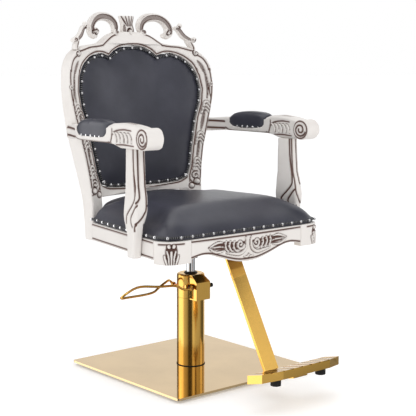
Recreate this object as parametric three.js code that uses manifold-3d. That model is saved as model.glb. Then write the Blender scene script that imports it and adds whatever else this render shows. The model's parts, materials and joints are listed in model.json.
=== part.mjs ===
// A carved styling chair on a hydraulic pump: a square polished base, a pump column with a foot
// lever, and a turning seat with a shield-shaped back, scrolled arms and a hanging footrest.
// Millimetres. +Z is up, the sitter faces -Y, and the model is built about the pump column's axis.
import * as THREE from 'three';
import Module from 'manifold-3d';
import { mergeVertices } from 'three/addons/utils/BufferGeometryUtils.js';

const wasm = await Module();
wasm.setup();

// ---- Fits ----
const GAP = 0.3; // between pieces that touch
const RUN = 0.4; // between pieces that turn or slide on each other

// ---- Base ----
const BASE_SIZE = 600;
const BASE_THICK = 8;
const BASE_CORNER = 10;
const FOOT_HEIGHT = 9.7;
const FOOT_R = 20;
const FOOT_INSET = 42; // from the base's edges to a foot's centre
const BOLT_CIRCLE_R = 30;
const BOLT_R = 4;
const BOLT_HEAD_R = 7;
const BOLT_HEAD = 5;
const BOLT_LENGTH = 20;
const PLATE_BOTTOM = FOOT_HEIGHT + GAP;
const PLATE_TOP = PLATE_BOTTOM + BASE_THICK;

// ---- Pump ----
const COLUMN_R = 49;
const COLUMN_WALL = 4;
const COLUMN_FLOOR = 16;
const COLUMN_SEAM = 261;
const HEAD_TOP = 344;
const HEAD_EDGE = 6;
const ROD_R = 15.5;
const INNER_R = 22;
const INNER_WALL = 3;
const INNER_TOP = 334;
const GLAND_R = 24;
const GLAND_DEPTH = 10;
const GLAND_RISE = 5;
const HOUSING_LEFT = -(COLUMN_R - 15);
const HOUSING_RIGHT = COLUMN_R - 21;
const HOUSING_STAND = 23; // how far the housing stands out from the column
const HOUSING_FRONT = -(COLUMN_R + HOUSING_STAND);
const HOUSING_BOTTOM = 258;
const HOUSING_SHOULDER = 320;
const HOUSING_CHAMFER = 24;
const VALVE_R = 7.5;
const VALVE_Y = HOUSING_FRONT + 18;
const VALVE_STEM = 10;
const VALVE_CAP = 13;

// ---- Foot lever ----
const PIVOT_X = -(COLUMN_R - 6);
const PIVOT_Z = 302;
const PIN_R = 3.5;
const LEVER_ROD_R = 4.2;
const EYE_R = 8;
const EYE_FRONT = HOUSING_FRONT + 15;
const EYE_REAR = COLUMN_R - 5;
const EYE_WIDTH = 8;
const ROCKER_Y = HOUSING_FRONT + 24;
const ROCKER_WIDTH = 6;
const ROCKER_REACH = 18;
const ROCKER_TIP_R = 4;
const PLUNGER_R = 3.5;
const PLUNGER_CLEARANCE = 2; // under the rocker's tip, so that the rocker's flat side clears it too
const SLOT_FRONT = HOUSING_FRONT + 16;
const SLOT_REAR = HOUSING_FRONT + 36;
const SLOT_DEPTH = 26;
const SLOT_TOP = 314;
const SLOT_FLOOR = 262;

// ---- Lift and socket ----
const PISTON_BOTTOM = 70;
const PISTON_LENGTH = 24;
const ROD_TOP = 446;
const SOCKET_WALL = 9;
const SOCKET_BOTTOM = 398;
const MOUNT_SIZE = 260;
const MOUNT_THICK = 6;
const MOUNT_BOLT_REACH = 105;
const MOUNT_BOLT_LENGTH = 15;

// ---- Seat frame ----
const RAIL_BOTTOM = 461;
const RAIL_TOP = 524;
const RAIL_THICK = 34;
const FRONT_Y = -298;
const CORNER_SEAM_X = 244;
const CORNER_BOTTOM = 450;
const CORNER_REAR_Y = -234;
const SIDE_X = 335;
const SIDE_REF_Y = -159;
const SIDE_SPLAY = 0.166;
const FRONT_DROP = 33; // how far the front rail's centre hangs below its ends
const BOARD_THICK = 12;
const BOARD_BOTTOM = 474;
const CUSHION_CROWN = 598;
const CUSHION_BAND = 30; // height of the cushion's upright side above the rails
const CUSHION_SET = 4; // the cushion's side stands in from the rails by this
const CUSHION_REAR_Y = 288;
const TRIM_THICK = 2.2;
const TRIM_WIDTH = 9;
const TRIM_LIFT = 7; // the seat trim's lower edge above the rails
const TRIM_STAND = 1.8; // the back trim stands off the leather it is nailed to by this
const TRIM_SET = 5; // the back trim's outer edge in from the opening

// ---- Back ----
const BACK_REF_Z = 618;
const BACK_Y = 277.5;
const BACK_RECLINE = 0.119;
const BACK_BOW = 0.00064;
const STILE_BOTTOM = 456;
const STILE_TOP = 1040;
const LOWER_RAIL_BOTTOM = 602;
const LOWER_RAIL_DEPTH = 62;
const CUSHION_DEPTH = 25;
const CUSHION_RECESS = 4;
const CUSHION_PUFF = 14;
const PANEL_THICK = 10;
const PANEL_SET = 8;
const PANEL_PLAY = 2.5; // a panel's outline in from the opening it fills

// ---- Arms ----
const ROLL_X = 346;
const ROLL_Y = -216;
const ROLL_Z = 842;
const ROLL_R = 35;
const ROLL_LENGTH = 64;
const ROLL_TOE = 0.1;
const ARM_BOTTOM = 808;
const POST_Y = -133;
const POST_THICK = 34;
const PAD_REAR = 168;
const PAD_FRONT = -32;
const PAD_HALF_WIDTH = 27;
const PAD_CROWN = 895;
const PAD_BOTTOM = 828;

// ---- Footrest ----
const BAR_WIDTH = 62;
const BAR_THICK = 9;
const BAR_LEAN = 0.5514; // how far the bar runs forward for each unit that it drops
const BAR_BEND_Y = -203;
const BAR_REAR_Y = -70;
const TREAD_HALF_WIDTH = 172;
const TREAD_FLAT_HALF = 104; // the straight part of the front edge, half its width
const TREAD_FRONT_Y = -574;
const TREAD_DEPTH = 93;
const TREAD_CORNER = 25; // how far back the front edge is cut at each end
const TREAD_THICK = 28;
const TREAD_FRONT_TOP = 135;
const TREAD_SLOPE = 0.25;
const TREAD_GROOVES = 8;
const GROOVE_PITCH = 40;
const GROOVE_WIDTH = 7;
const GROOVE_DEPTH = 4;
const TONGUE_FRONT_Y = -545;
const BUMPER_X = 100;
const BUMPER_Y = -535;
const BUMPER_R = 17;
const BUMPER_HEIGHT = 14;

// ---- Materials ----
function material(color, roughness, metalness) {
  return new THREE.MeshStandardMaterial({ color, roughness, metalness });
}
const IVORY = [0xece6de, 0.5, 0];
const LEATHER = [0x33343d, 0.45, 0];
const GOLD = [0xc8963c, 0.25, 1];
const CHROME = [0xd0d2d6, 0.08, 1];
const STEEL = [0x5a5c60, 0.4, 1];
const DARK_STEEL = [0x18181a, 0.4, 0.6];
const RUBBER = [0x121212, 0.8, 0];
const BRASS = [0xa8602c, 0.3, 1];
const SILVER = [0xd8d8dc, 0.2, 1];
const PLYWOOD = [0xb08a5a, 0.7, 0];

const chair = new THREE.Group();
const model = new THREE.Group();
chair.add(model);

function place(name, geometry, look) {
  const mesh = new THREE.Mesh(geometry, material(...look));
  mesh.name = name;
  model.add(mesh);
  return mesh;
}

// ---- Solids ----
function solid(geometry) {
  const bare = geometry.clone();
  bare.deleteAttribute('normal');
  bare.deleteAttribute('uv');
  const merged = mergeVertices(bare, 1e-4);
  const vertProperties = new Float32Array(merged.attributes.position.array);
  const triVerts = new Uint32Array(merged.index.array);
  return new wasm.Manifold(new wasm.Mesh({ numProp: 3, vertProperties, triVerts }));
}

function geometryOf(body) {
  const mesh = body.getMesh();
  const geometry = new THREE.BufferGeometry();
  geometry.setAttribute('position', new THREE.BufferAttribute(mesh.vertProperties.slice(), 3));
  geometry.setIndex(new THREE.BufferAttribute(mesh.triVerts.slice(), 1));
  geometry.computeVertexNormals();
  return geometry;
}

function cut(geometry, ...tools) {
  return geometryOf(tools.reduce((body, tool) => body.subtract(solid(tool)), solid(geometry)));
}

function join(geometry, ...others) {
  return geometryOf(others.reduce((body, other) => body.add(solid(other)), solid(geometry)));
}

function keep(geometry, other) {
  return geometryOf(solid(geometry).intersect(solid(other)));
}

function mirrored(geometry) {
  const twin = geometry.index ? geometry.clone() : mergeVertices(geometry.clone());
  twin.scale(-1, 1, 1);
  const order = twin.index.array;
  for (let i = 0; i < order.length; i += 3) {
    [order[i], order[i + 1]] = [order[i + 1], order[i]];
  }
  twin.computeVertexNormals();
  return twin;
}

// Skins rings of points, each with the same count, into one closed body with a cap at each end.
function loft(rings, closed = false) {
  const count = rings[0].length;
  const points = rings.flat();
  const faces = [];
  const spans = closed ? rings.length : rings.length - 1;
  for (let i = 0; i < spans; i += 1) {
    const next = (i + 1) % rings.length;
    for (let j = 0; j < count; j += 1) {
      const k = (j + 1) % count;
      const a = i * count + j;
      const b = i * count + k;
      const c = next * count + k;
      const d = next * count + j;
      faces.push(a, b, c, a, c, d);
    }
  }
  if (!closed) {
    const last = rings.length - 1;
    for (const [ring, start, flip] of [[rings[0], 0, true], [rings[last], last * count, false]]) {
      const centre = ring.reduce((sum, p) => sum.add(p), new THREE.Vector3()).divideScalar(count);
      points.push(centre);
      for (let j = 0; j < count; j += 1) {
        const k = (j + 1) % count;
        const pair = flip ? [start + k, start + j] : [start + j, start + k];
        faces.push(...pair, points.length - 1);
      }
    }
  }
  const geometry = new THREE.BufferGeometry().setFromPoints(points);
  geometry.setIndex(faces);
  if (solid(geometry).volume() < 0) {
    for (let i = 0; i < faces.length; i += 3) {
      [faces[i], faces[i + 1]] = [faces[i + 1], faces[i]];
    }
    geometry.setIndex(faces);
  }
  geometry.computeVertexNormals();
  return geometry;
}

// A rectangle with cut corners, as points in the plane of u and v.
function chamfered(u0, u1, v0, v1, c) {
  return [
    [u0 + c, v0], [u1 - c, v0], [u1, v0 + c], [u1, v1 - c],
    [u1 - c, v1], [u0 + c, v1], [u0, v1 - c], [u0, v0 + c],
  ];
}

function oval(count, halfU, halfV) {
  return Array.from({ length: count }, (_, i) => {
    const angle = (2 * Math.PI * i) / count;
    return [halfU * Math.cos(angle), halfV * Math.sin(angle)];
  });
}

function outline(points) {
  return new THREE.Shape(points.map(([u, v]) => new THREE.Vector2(u, v)));
}

function extrudeZ(shape, z0, z1, curveSegments = 8) {
  const geometry = new THREE.ExtrudeGeometry(shape, { depth: z1 - z0, bevelEnabled: false, curveSegments });
  return geometry.translate(0, 0, z0);
}

// The shape's u and v run along X and Z.
function extrudeY(shape, y0, y1, curveSegments = 8) {
  const geometry = extrudeZ(shape, 0, y1 - y0, curveSegments);
  return geometry.rotateX(Math.PI / 2).translate(0, y1, 0);
}

// The shape's u and v run along Y and Z.
function extrudeX(shape, x0, x1) {
  const turn = new THREE.Matrix4().makeBasis(
    new THREE.Vector3(0, 1, 0), new THREE.Vector3(0, 0, 1), new THREE.Vector3(1, 0, 0));
  return extrudeZ(shape, x0, x1).applyMatrix4(turn);
}

function box(x0, x1, y0, y1, z0, z1) {
  const geometry = new THREE.BoxGeometry(x1 - x0, y1 - y0, z1 - z0);
  return geometry.translate((x0 + x1) / 2, (y0 + y1) / 2, (z0 + z1) / 2);
}

function cylinderZ(r, x, y, z0, z1, sides = 24) {
  const geometry = new THREE.CylinderGeometry(r, r, z1 - z0, sides);
  return geometry.rotateX(Math.PI / 2).translate(x, y, (z0 + z1) / 2);
}

function cylinderY(r, x, z, y0, y1, sides = 20) {
  return new THREE.CylinderGeometry(r, r, y1 - y0, sides).translate(x, (y0 + y1) / 2, z);
}

function cylinderX(r, y, z, x0, x1, sides = 20) {
  const geometry = new THREE.CylinderGeometry(r, r, x1 - x0, sides);
  return geometry.rotateZ(Math.PI / 2).translate((x0 + x1) / 2, y, z);
}

function turned(profile, sides = 40) {
  const points = profile.map(([r, z]) => new THREE.Vector2(r, z));
  return new THREE.LatheGeometry(points, sides).rotateX(Math.PI / 2);
}

// Reads a smooth value from pairs of position and value, in order of position.
function along(pairs, at) {
  if (at <= pairs[0][0]) return pairs[0][1];
  const last = pairs.length - 1;
  if (at >= pairs[last][0]) return pairs[last][1];
  const i = pairs.findIndex(([position]) => position > at) - 1;
  const [p0, v0] = pairs[i];
  const [p1, v1] = pairs[i + 1];
  return THREE.MathUtils.lerp(v0, v1, (at - p0) / (p1 - p0));
}

// ---- Base ----
function basePlate() {
  const half = BASE_SIZE / 2;
  const edge = half - BASE_CORNER;
  const shape = new THREE.Shape();
  shape.moveTo(-edge, -half);
  shape.lineTo(edge, -half);
  shape.absarc(edge, -edge, BASE_CORNER, -Math.PI / 2, 0);
  shape.absarc(edge, edge, BASE_CORNER, 0, Math.PI / 2);
  shape.absarc(-edge, edge, BASE_CORNER, Math.PI / 2, Math.PI);
  shape.absarc(-edge, -edge, BASE_CORNER, Math.PI, 1.5 * Math.PI);
  for (const [x, y] of boltPlaces()) {
    shape.holes.push(new THREE.Path().absarc(x, y, BOLT_R + GAP, 0, 2 * Math.PI, true));
  }
  return extrudeZ(shape, PLATE_BOTTOM, PLATE_TOP, 6);
}

function boltPlaces() {
  return [45, 135, 225, 315].map((degrees) => {
    const angle = THREE.MathUtils.degToRad(degrees);
    return [BOLT_CIRCLE_R * Math.cos(angle), BOLT_CIRCLE_R * Math.sin(angle)];
  });
}

// A bolt driven upward, its head just under the height given.
function bolt(x, y, under, length) {
  const top = under + length;
  const head = under - GAP;
  return turned([
    [0, head - BOLT_HEAD], [BOLT_HEAD_R, head - BOLT_HEAD], [BOLT_HEAD_R, head],
    [BOLT_R, head], [BOLT_R, top], [0, top],
  ], 12).translate(x, y, 0);
}

place('base_plate', basePlate(), GOLD);
for (const [i, [sx, sy]] of [[-1, -1], [1, -1], [1, 1], [-1, 1]].entries()) {
  const reach = BASE_SIZE / 2 - FOOT_INSET;
  const pad = turned([[0, 0], [FOOT_R - 2, 0], [FOOT_R, 2], [FOOT_R, FOOT_HEIGHT], [0, FOOT_HEIGHT]], 20);
  place(`base_foot_${i + 1}`, pad.translate(sx * reach, sy * reach, 0), RUBBER);
}
for (const [i, [x, y]] of boltPlaces().entries()) {
  place(`base_bolt_${i + 1}`, bolt(x, y, PLATE_BOTTOM, BOLT_LENGTH), STEEL);
}

// ---- Pump ----
const columnBottom = PLATE_TOP + GAP;
const columnFloor = columnBottom + COLUMN_FLOOR;

function pumpCylinder() {
  const bore = COLUMN_R - COLUMN_WALL;
  const tube = turned([
    [0, columnBottom], [COLUMN_R, columnBottom], [COLUMN_R, COLUMN_SEAM - GAP],
    [bore, COLUMN_SEAM - GAP], [bore, columnFloor], [0, columnFloor],
  ]);
  const holes = boltPlaces().map(([x, y]) =>
    cylinderZ(BOLT_R + GAP, x, y, columnBottom - 1, PLATE_BOTTOM + BOLT_LENGTH + GAP, 12));
  return cut(tube, ...holes);
}

function innerCylinder() {
  const bore = INNER_R - INNER_WALL;
  const bottom = columnFloor + GAP;
  return turned([
    [0, bottom], [INNER_R, bottom], [INNER_R, INNER_TOP - GAP],
    [bore, INNER_TOP - GAP], [bore, bottom + INNER_WALL], [0, bottom + INNER_WALL],
  ], 24);
}

function pumpHead() {
  const bore = INNER_R + GAP;
  const seat = HEAD_TOP - GLAND_DEPTH;
  const ring = turned([
    [bore, COLUMN_SEAM], [COLUMN_R, COLUMN_SEAM], [COLUMN_R, HEAD_TOP - HEAD_EDGE],
    [COLUMN_R - HEAD_EDGE * 0.3, HEAD_TOP - HEAD_EDGE * 0.3], [COLUMN_R - HEAD_EDGE, HEAD_TOP],
    [GLAND_R + GAP, HEAD_TOP], [GLAND_R + GAP, seat], [bore, seat], [bore, COLUMN_SEAM],
  ]);
  return cut(ring, cylinderY(PIN_R + RUN, PIVOT_X, PIVOT_Z, -COLUMN_R, COLUMN_R, 16));
}

function rodGland() {
  const seat = HEAD_TOP - GLAND_DEPTH + GAP;
  const top = HEAD_TOP + GLAND_RISE;
  const bore = ROD_R + RUN;
  return turned([
    [bore, seat], [GLAND_R, seat], [GLAND_R, HEAD_TOP], [GLAND_R - 3, top], [bore, top], [bore, seat],
  ], 28);
}

// The block at the head's front, hollowed to the head's round wall and slotted for the rocker.
function pumpHousing() {
  const top = HOUSING_SHOULDER + HOUSING_CHAMFER - GAP;
  const profile = outline([
    [HOUSING_FRONT, HOUSING_BOTTOM], [0, HOUSING_BOTTOM], [0, top],
    [HOUSING_FRONT + HOUSING_CHAMFER, top], [HOUSING_FRONT, HOUSING_SHOULDER],
  ]);
  const block = extrudeX(profile, HOUSING_LEFT, HOUSING_RIGHT);
  const slope = outline([
    [HOUSING_RIGHT - HOUSING_CHAMFER / 2, HEAD_TOP], [HOUSING_RIGHT + 1, HEAD_TOP],
    [HOUSING_RIGHT + 1, HOUSING_SHOULDER],
  ]);
  const lug = box(PIVOT_X - EYE_R, HOUSING_LEFT + 1, SLOT_REAR + GAP, SLOT_REAR + EYE_R, PIVOT_Z - EYE_R, PIVOT_Z + EYE_R);
  return cut(
    join(block, lug),
    extrudeY(slope, HOUSING_FRONT - 1, 1),
    cylinderZ(COLUMN_R + GAP, 0, 0, HOUSING_BOTTOM - 1, HEAD_TOP + 1, 48),
    box(HOUSING_LEFT - 1, HOUSING_LEFT + SLOT_DEPTH, SLOT_FRONT, SLOT_REAR, SLOT_FLOOR, SLOT_TOP),
    cylinderY(PIN_R + RUN, PIVOT_X, PIVOT_Z, HOUSING_FRONT, 0, 16));
}

place('pump_cylinder', pumpCylinder(), GOLD);
place('inner_cylinder', innerCylinder(), STEEL);
place('pump_head', pumpHead(), GOLD);
place('rod_gland', rodGland(), DARK_STEEL);
place('pump_housing', pumpHousing(), GOLD);
const stemStart = HOUSING_RIGHT + GAP;
const capStart = stemStart + VALVE_STEM + GAP;
place('valve_stem', cylinderX(VALVE_R - 1, VALVE_Y, PIVOT_Z, stemStart, stemStart + VALVE_STEM, 16), BRASS);
place('valve_cap', cylinderX(VALVE_R, VALVE_Y, PIVOT_Z, capStart, capStart + VALVE_CAP, 16), RUBBER);

// ---- Foot lever ----
// The bent rod straddles the pump: one arm runs straight out in front and dips at its end, the
// other drops early behind, and a short cross bar joins them as the pedal.
function leverRod() {
  const route = [
    [PIVOT_X - 3, EYE_FRONT, PIVOT_Z], [PIVOT_X - 36, EYE_FRONT, PIVOT_Z + 1],
    [PIVOT_X - 64, EYE_FRONT + 1, PIVOT_Z + 16], [PIVOT_X - 140, EYE_FRONT + 4, PIVOT_Z + 24],
    [PIVOT_X - 229, EYE_FRONT + 9, PIVOT_Z + 32], [PIVOT_X - 284, EYE_FRONT + 16, PIVOT_Z + 8],
    [PIVOT_X - 278, EYE_FRONT + 32, PIVOT_Z - 2], [PIVOT_X - 256, EYE_FRONT + 38, PIVOT_Z - 4],
    [PIVOT_X - 122, 0, PIVOT_Z - 6], [PIVOT_X - 92, 10, PIVOT_Z + 4],
    [PIVOT_X - 44, 24, PIVOT_Z + 18], [PIVOT_X - 18, EYE_REAR - 2, PIVOT_Z + 15],
    [PIVOT_X - 3, EYE_REAR, PIVOT_Z],
  ].map((p) => new THREE.Vector3(...p));
  const path = new THREE.CatmullRomCurve3(route, false, 'centripetal');
  const section = outline(oval(8, LEVER_ROD_R, LEVER_ROD_R));
  return new THREE.ExtrudeGeometry(section, { steps: 42, extrudePath: path, bevelEnabled: false });
}

function pumpLever() {
  const eyes = [EYE_FRONT, EYE_REAR].map((y) =>
    cylinderY(EYE_R, PIVOT_X, PIVOT_Z, y - EYE_WIDTH / 2, y + EYE_WIDTH / 2, 16));
  const bore = cylinderY(PIN_R + GAP, PIVOT_X, PIVOT_Z, 2 * EYE_FRONT, 2 * EYE_REAR, 12);
  return cut(join(leverRod(), ...eyes), bore);
}

function leverRocker() {
  const half = ROCKER_WIDTH / 2;
  const tip = PIVOT_X + ROCKER_REACH;
  const hub = cylinderY(EYE_R - 1, PIVOT_X, PIVOT_Z, ROCKER_Y - half, ROCKER_Y + half, 16);
  const arm = box(PIVOT_X, tip, ROCKER_Y - half, ROCKER_Y + half, PIVOT_Z - 4, PIVOT_Z + 4);
  const nose = cylinderY(ROCKER_TIP_R, tip, PIVOT_Z, ROCKER_Y - half, ROCKER_Y + half, 16);
  const bore = cylinderY(PIN_R + GAP, PIVOT_X, PIVOT_Z, ROCKER_Y - half - 1, ROCKER_Y + half + 1, 12);
  return cut(join(hub, arm, nose), bore);
}

const pinOverhang = EYE_WIDTH / 2 + 2;
place('pump_lever', pumpLever(), GOLD);
place('pivot_pin',
  cylinderY(PIN_R, PIVOT_X, PIVOT_Z, EYE_FRONT - pinOverhang, EYE_REAR + pinOverhang, 12), BRASS);
place('lever_rocker', leverRocker(), DARK_STEEL);
const plungerTop = PIVOT_Z - ROCKER_TIP_R - PLUNGER_CLEARANCE;
place('pump_plunger',
  cylinderZ(PLUNGER_R, PIVOT_X + ROCKER_REACH, ROCKER_Y, SLOT_FLOOR + 7, plungerTop, 14), DARK_STEEL);

// ---- Lift ----
const pistonTop = PISTON_BOTTOM + PISTON_LENGTH;
place('piston_head', cylinderZ(INNER_R - INNER_WALL - RUN, 0, 0, PISTON_BOTTOM, pistonTop, 24), STEEL);
place('piston_rod', cylinderZ(ROD_R, 0, 0, pistonTop + GAP, ROD_TOP, 28), CHROME);

// ---- Seat mounting ----
const mountTop = BOARD_BOTTOM - GAP;
const mountBottom = mountTop - MOUNT_THICK;
const socketTop = mountBottom - GAP;

function seatSocket() {
  const bore = ROD_R + RUN;
  const r = bore + SOCKET_WALL;
  const roof = ROD_TOP + RUN;
  return turned([
    [bore, SOCKET_BOTTOM], [r, SOCKET_BOTTOM], [r, roof - 12], [r + 22, roof], [r + 22, socketTop],
    [0, socketTop], [0, roof], [bore, roof], [bore, SOCKET_BOTTOM],
  ], 28);
}

place('seat_socket', seatSocket(), DARK_STEEL);

function mountBoltHoles(z0, z1) {
  return mountBoltPlaces.map(([x, y]) => cylinderZ(BOLT_R + GAP, x, y, z0, z1, 12));
}

const mountBoltPlaces = [[1, 1], [-1, 1], [-1, -1], [1, -1]].map(([sx, sy]) =>
  [sx * MOUNT_BOLT_REACH, sy * MOUNT_BOLT_REACH]);
const halfMount = MOUNT_SIZE / 2;
const mountPlate = box(-halfMount, halfMount, -halfMount, halfMount, mountBottom, mountTop);
place('seat_mount_plate', cut(mountPlate, ...mountBoltHoles(mountBottom - 1, mountTop + 1)), DARK_STEEL);
for (const [i, [x, y]] of mountBoltPlaces.entries()) {
  place(`mount_bolt_${i + 1}`, bolt(x, y, mountBottom, MOUNT_BOLT_LENGTH), STEEL);
}

// ---- Seat frame ----
function sideX(y) {
  return SIDE_X - SIDE_SPLAY * (y - SIDE_REF_Y);
}

function backY(x, z) {
  return BACK_Y + BACK_RECLINE * (z - BACK_REF_Z) - BACK_BOW * x * x;
}

// Half-widths of the back frame's outside and of its opening, from the foot of the stiles upward.
const STILE_OUTSIDE = [
  [456, 262], [523, 258], [581, 252], [620, 253], [686, 260], [758, 273],
  [831, 293], [903, 312], [957, 323], [990, 326], [1029, 323], [1040, 321],
];
const STILE_INSIDE = [
  [456, 200], [600, 200], [650, 201], [685, 213], [757, 226],
  [866, 250], [920, 269], [975, 276], [1028, 267], [1040, 260],
];
const FRAME_DEPTH = [
  [456, 54], [523, 56], [600, 66], [686, 80], [758, 86], [831, 84], [903, 72], [970, 62], [1040, 56],
  [1134, 48],
];
function frameDepth(z) {
  return along(FRAME_DEPTH, z);
}

const stileOuterFoot = STILE_OUTSIDE[0][1];
const stileInnerFoot = STILE_INSIDE[0][1];
const sideRailRear = backY(stileOuterFoot + 2, RAIL_BOTTOM) - 2;

function frontRail() {
  const shape = new THREE.Shape();
  const end = CORNER_SEAM_X - GAP;
  const low = RAIL_BOTTOM - FRONT_DROP;
  shape.moveTo(-end, RAIL_TOP);
  shape.lineTo(-end, RAIL_BOTTOM);
  shape.bezierCurveTo(-200, RAIL_BOTTOM + 14, -165, RAIL_BOTTOM + 10, -110, RAIL_BOTTOM - 12);
  shape.bezierCurveTo(-80, RAIL_BOTTOM - 20, -50, low, 0, low);
  shape.bezierCurveTo(50, low, 80, RAIL_BOTTOM - 20, 110, RAIL_BOTTOM - 12);
  shape.bezierCurveTo(165, RAIL_BOTTOM + 10, 200, RAIL_BOTTOM + 14, end, RAIL_BOTTOM);
  shape.lineTo(end, RAIL_TOP);
  return extrudeY(shape, FRONT_Y, FRONT_Y + RAIL_THICK, 8);
}

function sideRail() {
  const front = CORNER_REAR_Y + GAP;
  const shape = outline([
    [sideX(front), front], [sideX(sideRailRear), sideRailRear],
    [sideX(sideRailRear) - RAIL_THICK, sideRailRear], [sideX(front) - RAIL_THICK, front],
  ]);
  return extrudeZ(shape, RAIL_BOTTOM, RAIL_TOP);
}

function frontCorner() {
  const rear = CORNER_REAR_Y;
  const shape = new THREE.Shape();
  shape.moveTo(CORNER_SEAM_X, FRONT_Y);
  shape.lineTo(CORNER_SEAM_X + 40, FRONT_Y);
  shape.bezierCurveTo(CORNER_SEAM_X + 85, FRONT_Y, sideX(rear) + 4, FRONT_Y + 30, sideX(rear), rear);
  shape.lineTo(sideX(rear) - RAIL_THICK, rear);
  shape.lineTo(CORNER_SEAM_X, FRONT_Y + RAIL_THICK);
  return extrudeZ(shape, CORNER_BOTTOM, RAIL_TOP, 8);
}

function rearRail() {
  const end = stileInnerFoot - GAP;
  const face = backY(0, RAIL_BOTTOM);
  return box(-end, end, face - RAIL_THICK + 8, face, RAIL_BOTTOM, RAIL_TOP);
}

const rearRailFront = backY(0, RAIL_BOTTOM) - RAIL_THICK + 8;

function seatBoard() {
  const front = FRONT_Y + RAIL_THICK + GAP;
  const inset = RAIL_THICK + 1;
  const rear = sideRailRear;
  const cornerY = CORNER_REAR_Y + GAP;
  const shape = outline([
    [-CORNER_SEAM_X, front], [CORNER_SEAM_X, front], [sideX(cornerY) - inset - 6, cornerY],
    [sideX(rear) - inset, rear], [stileInnerFoot - 2, rear], [stileInnerFoot - 2, rearRailFront - GAP],
    [2 - stileInnerFoot, rearRailFront - GAP], [2 - stileInnerFoot, rear], [inset - sideX(rear), rear],
    [inset + 6 - sideX(cornerY), cornerY],
  ]);
  const board = extrudeZ(shape, BOARD_BOTTOM, BOARD_BOTTOM + BOARD_THICK);
  return cut(board, ...mountBoltHoles(BOARD_BOTTOM - 1, mountBottom + MOUNT_BOLT_LENGTH + GAP));
}

// The seat's plan, half on each side of the middle, notched round the stiles at the rear.
function seatPlan(set, rear = CUSHION_REAR_Y) {
  const half = [
    [0, FRONT_Y], [120, FRONT_Y], [CORNER_SEAM_X, FRONT_Y], [CORNER_SEAM_X + 50, FRONT_Y + 3],
    [CORNER_SEAM_X + 84, FRONT_Y + 18], [sideX(CORNER_REAR_Y) - 2, CORNER_REAR_Y - 12],
    [sideX(-160), -160], [sideX(-60), -60], [sideX(70), 70], [sideX(sideRailRear), sideRailRear],
    [stileInnerFoot, sideRailRear], [stileInnerFoot, rear], [90, rear], [0, rear],
  ];
  const right = half.map(([x, y]) => {
    const inward = y < 0 ? Math.min(1, -y / 200) : -y / 1200;
    return [x * (1 - set / SIDE_X), y + set * inward];
  });
  const left = right.slice(1, -1).reverse().map(([x, y]) => [-x, y]);
  return [...right, ...left];
}

function seatCushion() {
  const bottom = BOARD_BOTTOM + BOARD_THICK + GAP;
  const plug = RAIL_THICK + 14;
  const plugRear = rearRailFront - GAP;
  const band = RAIL_TOP + CUSHION_BAND;
  const swell = CUSHION_CROWN - band;
  const levels = [
    [plug, bottom, plugRear], [plug, RAIL_TOP + GAP, plugRear], [CUSHION_SET, RAIL_TOP + GAP],
    [CUSHION_SET, band], [CUSHION_SET + 8, band + 0.42 * swell], [CUSHION_SET + 30, band + 0.75 * swell],
    [CUSHION_SET + 90, band + 0.93 * swell], [200, CUSHION_CROWN],
  ];
  return loft(levels.map(([set, z, rear]) =>
    seatPlan(set, rear).map(([x, y]) => new THREE.Vector3(x, y, z))));
}

// The band of studded gimp round the cushion's foot, from one stile round the front to the other.
function seatTrim() {
  const inside = seatPlan(CUSHION_SET - GAP);
  const outside = seatPlan(CUSHION_SET - GAP - TRIM_THICK);
  const last = inside.findIndex(([, y]) => y > sideRailRear / 2);
  const turns = [...Array(last + 1).keys()];
  const order = [...turns.slice(1).reverse().map((i) => inside.length - i), ...turns];
  const low = RAIL_TOP + TRIM_LIFT;
  return loft(order.map((i) => [
    new THREE.Vector3(...inside[i], low), new THREE.Vector3(...outside[i], low),
    new THREE.Vector3(...outside[i], low + TRIM_WIDTH), new THREE.Vector3(...inside[i], low + TRIM_WIDTH),
  ]));
}

place('front_rail', frontRail(), IVORY);
place('side_rail_right', sideRail(), IVORY);
place('side_rail_left', mirrored(sideRail()), IVORY);
place('front_corner_right', frontCorner(), IVORY);
place('front_corner_left', mirrored(frontCorner()), IVORY);
place('rear_rail', rearRail(), IVORY);
place('seat_board', seatBoard(), PLYWOOD);
place('seat_cushion', seatCushion(), LEATHER);
place('seat_nail_trim', seatTrim(), SILVER);

// ---- Back ----
// Bends a slab drawn in front view so that its face follows the back's hollow, reclined surface.
function bentSlab(shape, depthAt, curveSegments = 8) {
  const geometry = extrudeY(shape, 0, 1, curveSegments);
  const position = geometry.attributes.position;
  for (let i = 0; i < position.count; i += 1) {
    const x = position.getX(i);
    const z = position.getZ(i);
    position.setY(i, backY(x, z) + position.getY(i) * depthAt(z));
  }
  geometry.computeVertexNormals();
  return geometry;
}

function backStile() {
  const heights = [...new Set([...STILE_OUTSIDE, ...STILE_INSIDE].map(([z]) => z))]
    .filter((z) => z >= STILE_BOTTOM && z <= STILE_TOP).sort((a, b) => a - b);
  const rings = heights.map((z) => {
    const inner = along(STILE_INSIDE, z);
    const outer = along(STILE_OUTSIDE, z);
    const depth = frameDepth(z);
    const c = 5;
    return [[inner, 0], [inner + 20, 0], [outer - c, 0], [outer, c], [outer + 2, depth - c],
      [outer + 2 - c, depth], [inner, depth]].map(([x, d]) => new THREE.Vector3(x, backY(x, z) + d, z));
  });
  return loft(rings);
}

// The crest rail's upper edge and the opening's upper edge, from the stile to the middle.
const CREST_TOP = [
  [321, 1040.4], [318, 1060], [306, 1084], [288, 1104], [265, 1118], [240, 1128], [205, 1134], [165, 1137],
  [133, 1143], [110, 1158], [85, 1172], [57, 1181], [0, 1186],
];
const CREST_OPENING = [
  [260, 1040.4], [250, 1058], [236, 1073], [206, 1094], [170, 1106], [138, 1106], [109, 1097],
  [84, 1115], [57, 1127], [28, 1133], [0, 1134],
];

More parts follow.
